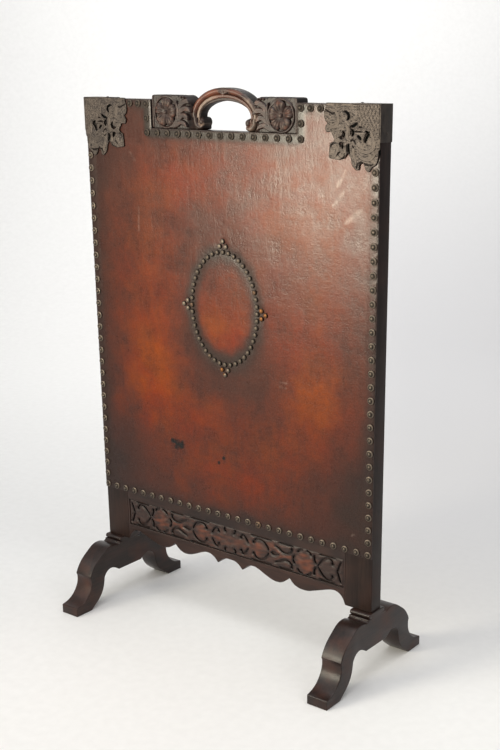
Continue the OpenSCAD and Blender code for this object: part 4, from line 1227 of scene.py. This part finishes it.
def crestSurface(x, z, distance):
    plan = crestPlan
    height, fillet, roll = crestHeight(x, z, distance, plan)
    u, v = np.abs(x), z - plan["notch"]
    rise = plan["handleFace"] - plan["blockFace"]
    block = groundShare(u, v, plan)
    local = height - rise * block
    angle = np.degrees(np.arctan2(v - plan["spring"], u))
    onRoll = (roll < 1) & (height < rise + 0.1)
    # The hand has rubbed the roll warm, most of all on the left
    left = ease(angle, -10, 25) * (1 - ease(angle, 66, 84)) * (x < 0)
    right = 0.8 * np.exp(-((angle - 56) / 17) ** 2) * (x >= 0)
    worn = (left + right) * onRoll * (0.7 + 0.2 * unevenness(x, z, 24, 33))
    worn += 0.4 * (fillet < 1) * (x > -25)
    worn += 0.35 * ease(local, 2, 4.5) * block * np.clip(unevenness(x, z, 17, 34), 0, 1)
    # Paler with old wax and as painted highlight: on the fillet at the left, on the block's high places, on the roll
    # at the right and at the top of the arch
    pale = (fillet < 1) * (x < 0) * (1 - ease(angle, 52, 74)) + 0.36 * ease(local, 3.0, 5.6) * block
    pale += 0.6 * onRoll * (x > 0) * (1 - ease(angle, 25, 45))
    pale += 0.25 * (v > 54) * (u < 12)
    pale *= 0.8 + 0.25 * unevenness(x, z, 11, 35)
    # Darker in the block's low ground and along its outline, as dirt and painted shade
    hollow = (1 - ease(local, -1.2, 1.8)) * block + 0.5 * np.exp(-distance / 0.8)
    return plan["handleFace"] - height, {"worn": np.clip(worn, 0, 1), "pale": np.clip(pale, 0, 1),
                                         "hollow": np.clip(hollow, 0, 0.9)}


carvedOakLook = {
    "dark": "#1f1411",
    "middle": "#35231d",
    "rubbed": "#6c3b26",
    # The waxed colour is also the colour of the painted highlight
    "waxed": "#7a685c",
    "hollow": "#120d0b",
    "rubbedMost": 0.85,
    "specular": 0.35,
}
carvedOak = makeCarvedWood("carved dark oak", carvedOakLook)
addPiece("crest_carving", carve("crest_carving", eased(edgesAt("crest_handle", 14.0), 3.0), 14.0, 0.5, crestSurface),
         carvedOak, ["crest_handle"])
print("carved wood made")


# Corner mounts: pressed brass with scrolls, pierced, and plain flanges bent over the top and the side

mountPlan = {
    "outX": 301.5,
    "top": 919.0,
    "front": -18.3,
    "back": -16.8,
    "flange": 54.0,
    "fieldWidth": 40.0,
    "fieldHeight": 37.0,
    "beadPitch": 3.1,
    "linePitch": 3.3,
    "thickness": 1.5,
    "frameBack": 14.0,
}
mountScrolls = [
    [(90, 8), (78, 13), (74, 25), (80, 34), (90, 34)],
    [(76, 42), (80, 48), (76, 54), (66, 53)],
    [(87, 63), (80, 61), (75, 67), (80, 75), (86, 73)],
    [(72, 69), (68, 75), (62, 71), (63, 63)],
    [(62, 29), (57, 36), (58, 48), (52, 53)],
    [(45, 56), (47, 67), (43, 80), (41, 88)],
    [(42, 60), (34, 66), (22, 68), (12, 62), (8, 52)],
    [(40, 70), (30, 77), (18, 78), (8, 70)],
    [(36, 40), (28, 38), (18, 40), (12, 50), (14, 60)],
    [(92, 22), (98, 30), (94, 38)],
]
# Cuts between the scrolls, as deep as the plate allows
mountCuts = [
    [(66, 12), (61, 13), (57.5, 16.5), (56.5, 20), (59, 23.5)],
    [(42, 27), (47.5, 31), (52.5, 32.7), (51, 37), (51.5, 42.7), (53.4, 45)],
    [(40, 46), (36, 48.4)], [(18, 39), (24.5, 42.7), (27.5, 49), (28, 54)],
    [(65, 39), (66, 45), (69, 47.7), (73.5, 48.5)], [(87, 62.7), (85, 59), (82, 57), (79, 57)],
    [(72, 57), (68.4, 56.5), (64, 56)], [(70, 59), (69.6, 62.7)], [(58.4, 57.7), (58.4, 64), (56, 71)],
    [(51.5, 54), (48.4, 51.5), (44.6, 53.4), (43.5, 57)], [(48.4, 60), (46, 62.7)],
    [(62.7, 71), (62.7, 75), (66.5, 79), (70, 79.6)], [(76, 75), (73.4, 71.5), (70, 69)],
    [(40, 92), (40, 87.7), (36.5, 84), (30, 83.4), (26, 85), (17, 86), (12, 84.6)],
    [(97, 10), (93, 12), (88, 14), (84, 15.5), (80.5, 14)], [(44, 39.5), (31, 39.5)], [(38, 33), (32, 33)],
]


def mountSurface(x, z, distance):
    plan = mountPlan
    u, v = plan["outX"] - np.abs(x), plan["top"] - z
    # Beads punched over the square by the corner, and fine wavy lines chased over the rest
    field = (u < plan["fieldWidth"]) * (v < plan["fieldHeight"])
    height = 0.1 * unevenness(x, z, 9, 41) + 0.08 * unevenness(x, z, 3.2, 42)
    lines = np.sin((v + 2.5 * unevenness(u, v, 24, 43)) * 2 * np.pi / plan["linePitch"])
    height += 0.16 * lines * (1 - field)
    for points in mountScrolls:
        across, _ = strokeField(u, v, smoothCurve(points), 5.6, 0.35)
        ridge = 0.55 * np.sqrt(np.clip(1 - across ** 2, 0, 1)) - 0.35 * np.exp(-(across / 0.3) ** 2)
        height = np.maximum(height, np.where(across < 1, ridge, -9))
    height -= 0.2 * np.exp(-((u - plan["fieldWidth"]) / 0.8) ** 2) * (v < plan["fieldHeight"])
    row = np.round(z / plan["beadPitch"])
    shift = 0.5 * (row % 2) + 0.16 * np.sin(row * 2.7)
    column = np.round(x / plan["beadPitch"] - shift)
    gap = np.hypot(x - (column + shift) * plan["beadPitch"], z - row * plan["beadPitch"])
    bead = dome(gap, 1.25, 0.7) * (0.6 + 0.4 * np.sin(row * 5.1 + column * 3.3))
    height += field * bead
    height += 0.25 * np.exp(-((distance - 1.3) / 0.7) ** 2) * (1 - field)
    height -= 0.6 * np.exp(-distance / 0.5)
    cut = np.zeros(x.shape)
    for points in mountCuts:
        across, _ = strokeField(u, v, smoothCurve(points), 2.6, 0.4)
        cut = np.maximum(cut, 1 - ease(across, 0.35, 1.15))
    height -= 1.1 * cut
    # Dark in the low places as patina, and in the cuts, which stand for openings, as painted shade
    hollow = np.maximum(1 - ease(height, -0.4, 0.1), cut)
    return plan["front"] - height, {"hollow": np.clip(hollow, 0, 1)}


# Lacquer-less cast brass, gone grey olive: brown black in the hollows as patina and in the cuts as painted shade,
# dull gold where it is rubbed
brassLook = {
    "rubbed": "#4b433d",
    "dull": "#322c29",
    "grimeAndShade": "#130c08",
}


def makeBrass(look):
    material, tree, shader, place = startMaterial("patinated brass")
    hollow = put(tree, "ShaderNodeAttribute", {"attribute_name": "hollow"}).outputs["Fac"]
    patches = put(tree, "ShaderNodeTexNoise", values={"Scale": 70, "Detail": 6, "Roughness": 0.65},
                  links={"Vector": place})
    tone = put(tree, "ShaderNodeValToRGB", links={"Fac": patches.outputs["Fac"]},
               stops=[(0.35, look["dull"]), (0.65, look["rubbed"])])
    held = put(tree, "ShaderNodeMath", {"operation": "MULTIPLY"}, None,
               {0: hollow, 1: patches.outputs["Fac"]})
    grimeAndShade = put(tree, "ShaderNodeMapRange", values={"From Min": 0.14, "From Max": 0.46, "To Max": 0.95},
                links={"Value": held.outputs[0]})
    colour = put(tree, "ShaderNodeMix", {"data_type": "RGBA"}, {7: linear(look["grimeAndShade"])},
                 {0: grimeAndShade.outputs["Result"], 6: tone.outputs["Color"]})
    tree.links.new(colour.outputs[2], shader.inputs["Base Color"])
    metal = put(tree, "ShaderNodeMapRange", values={"To Min": 0.7, "To Max": 0.1},
                links={"Value": grimeAndShade.outputs["Result"]})
    tree.links.new(metal.outputs["Result"], shader.inputs["Metallic"])
    sheen = put(tree, "ShaderNodeMapRange", values={"To Min": 0.5, "To Max": 0.08},
                links={"Value": grimeAndShade.outputs["Result"]})
    tree.links.new(sheen.outputs["Result"], shader.inputs["Specular IOR Level"])
    gloss = put(tree, "ShaderNodeMapRange",
                values={"From Min": 0.3, "From Max": 0.7, "To Min": 0.42, "To Max": 0.6},
                links={"Value": patches.outputs["Fac"]})
    tree.links.new(gloss.outputs["Result"], shader.inputs["Roughness"])
    pits = put(tree, "ShaderNodeTexNoise", values={"Scale": 500, "Detail": 2}, links={"Vector": place})
    bump = put(tree, "ShaderNodeBump", values={"Strength": 0.2, "Distance": 0.0004},
               links={"Height": pits.outputs["Fac"]})
    tree.links.new(bump.outputs["Normal"], shader.inputs["Normal"])
    return material


# The two flanges as one bent sheet with soft edges
def makeFlanges(side, plan):
    work = bmesh.new()
    out, top, thick = plan["outX"], plan["top"], plan["thickness"]
    boxes = [
        ((out - plan["flange"], plan["front"], top - thick), (out, plan["frameBack"], top)),
        ((out - thick, plan["front"], top - plan["flange"]), (out, plan["frameBack"], top - thick)),
    ]
    for low, high in boxes:
        made = bmesh.ops.create_cube(work, size=1.0)
        for vert in made["verts"]:
            vert.co = Vector([low[k] if vert.co[k] < 0 else high[k] for k in range(3)])
            vert.co.x *= side
            vert.co *= mm
    bmesh.ops.bevel(work, geom=work.edges[:], offset=0.45 * mm, segments=2, profile=0.5, affect="EDGES")
    bmesh.ops.recalc_face_normals(work, faces=work.faces)
    mesh = bpy.data.meshes.new("flanges")
    work.to_mesh(mesh)
    work.free()
    mesh.shade_smooth()
    mesh.set_sharp_from_angle(angle=math.radians(40))
    return mesh


def joined(name, meshes):
    work = bmesh.new()
    for mesh in meshes:
        work.from_mesh(mesh)
    mesh = bpy.data.meshes.new(name)
    work.to_mesh(mesh)
    work.free()
    return mesh


brass = makeBrass(brassLook)
for name, side in (("corner_mount_left", -1), ("corner_mount_right", 1)):
    plate = carve(name + "_plate", eased(edgesAt(name, mountPlan["back"]), 1.2), mountPlan["back"], 0.55,
                  mountSurface)
    addPiece(name + "_brass", joined(name + "_brass", [plate, makeFlanges(side, mountPlan)]),
             brass, [name])
dress("mount_pins", brass)
print("mounts made")
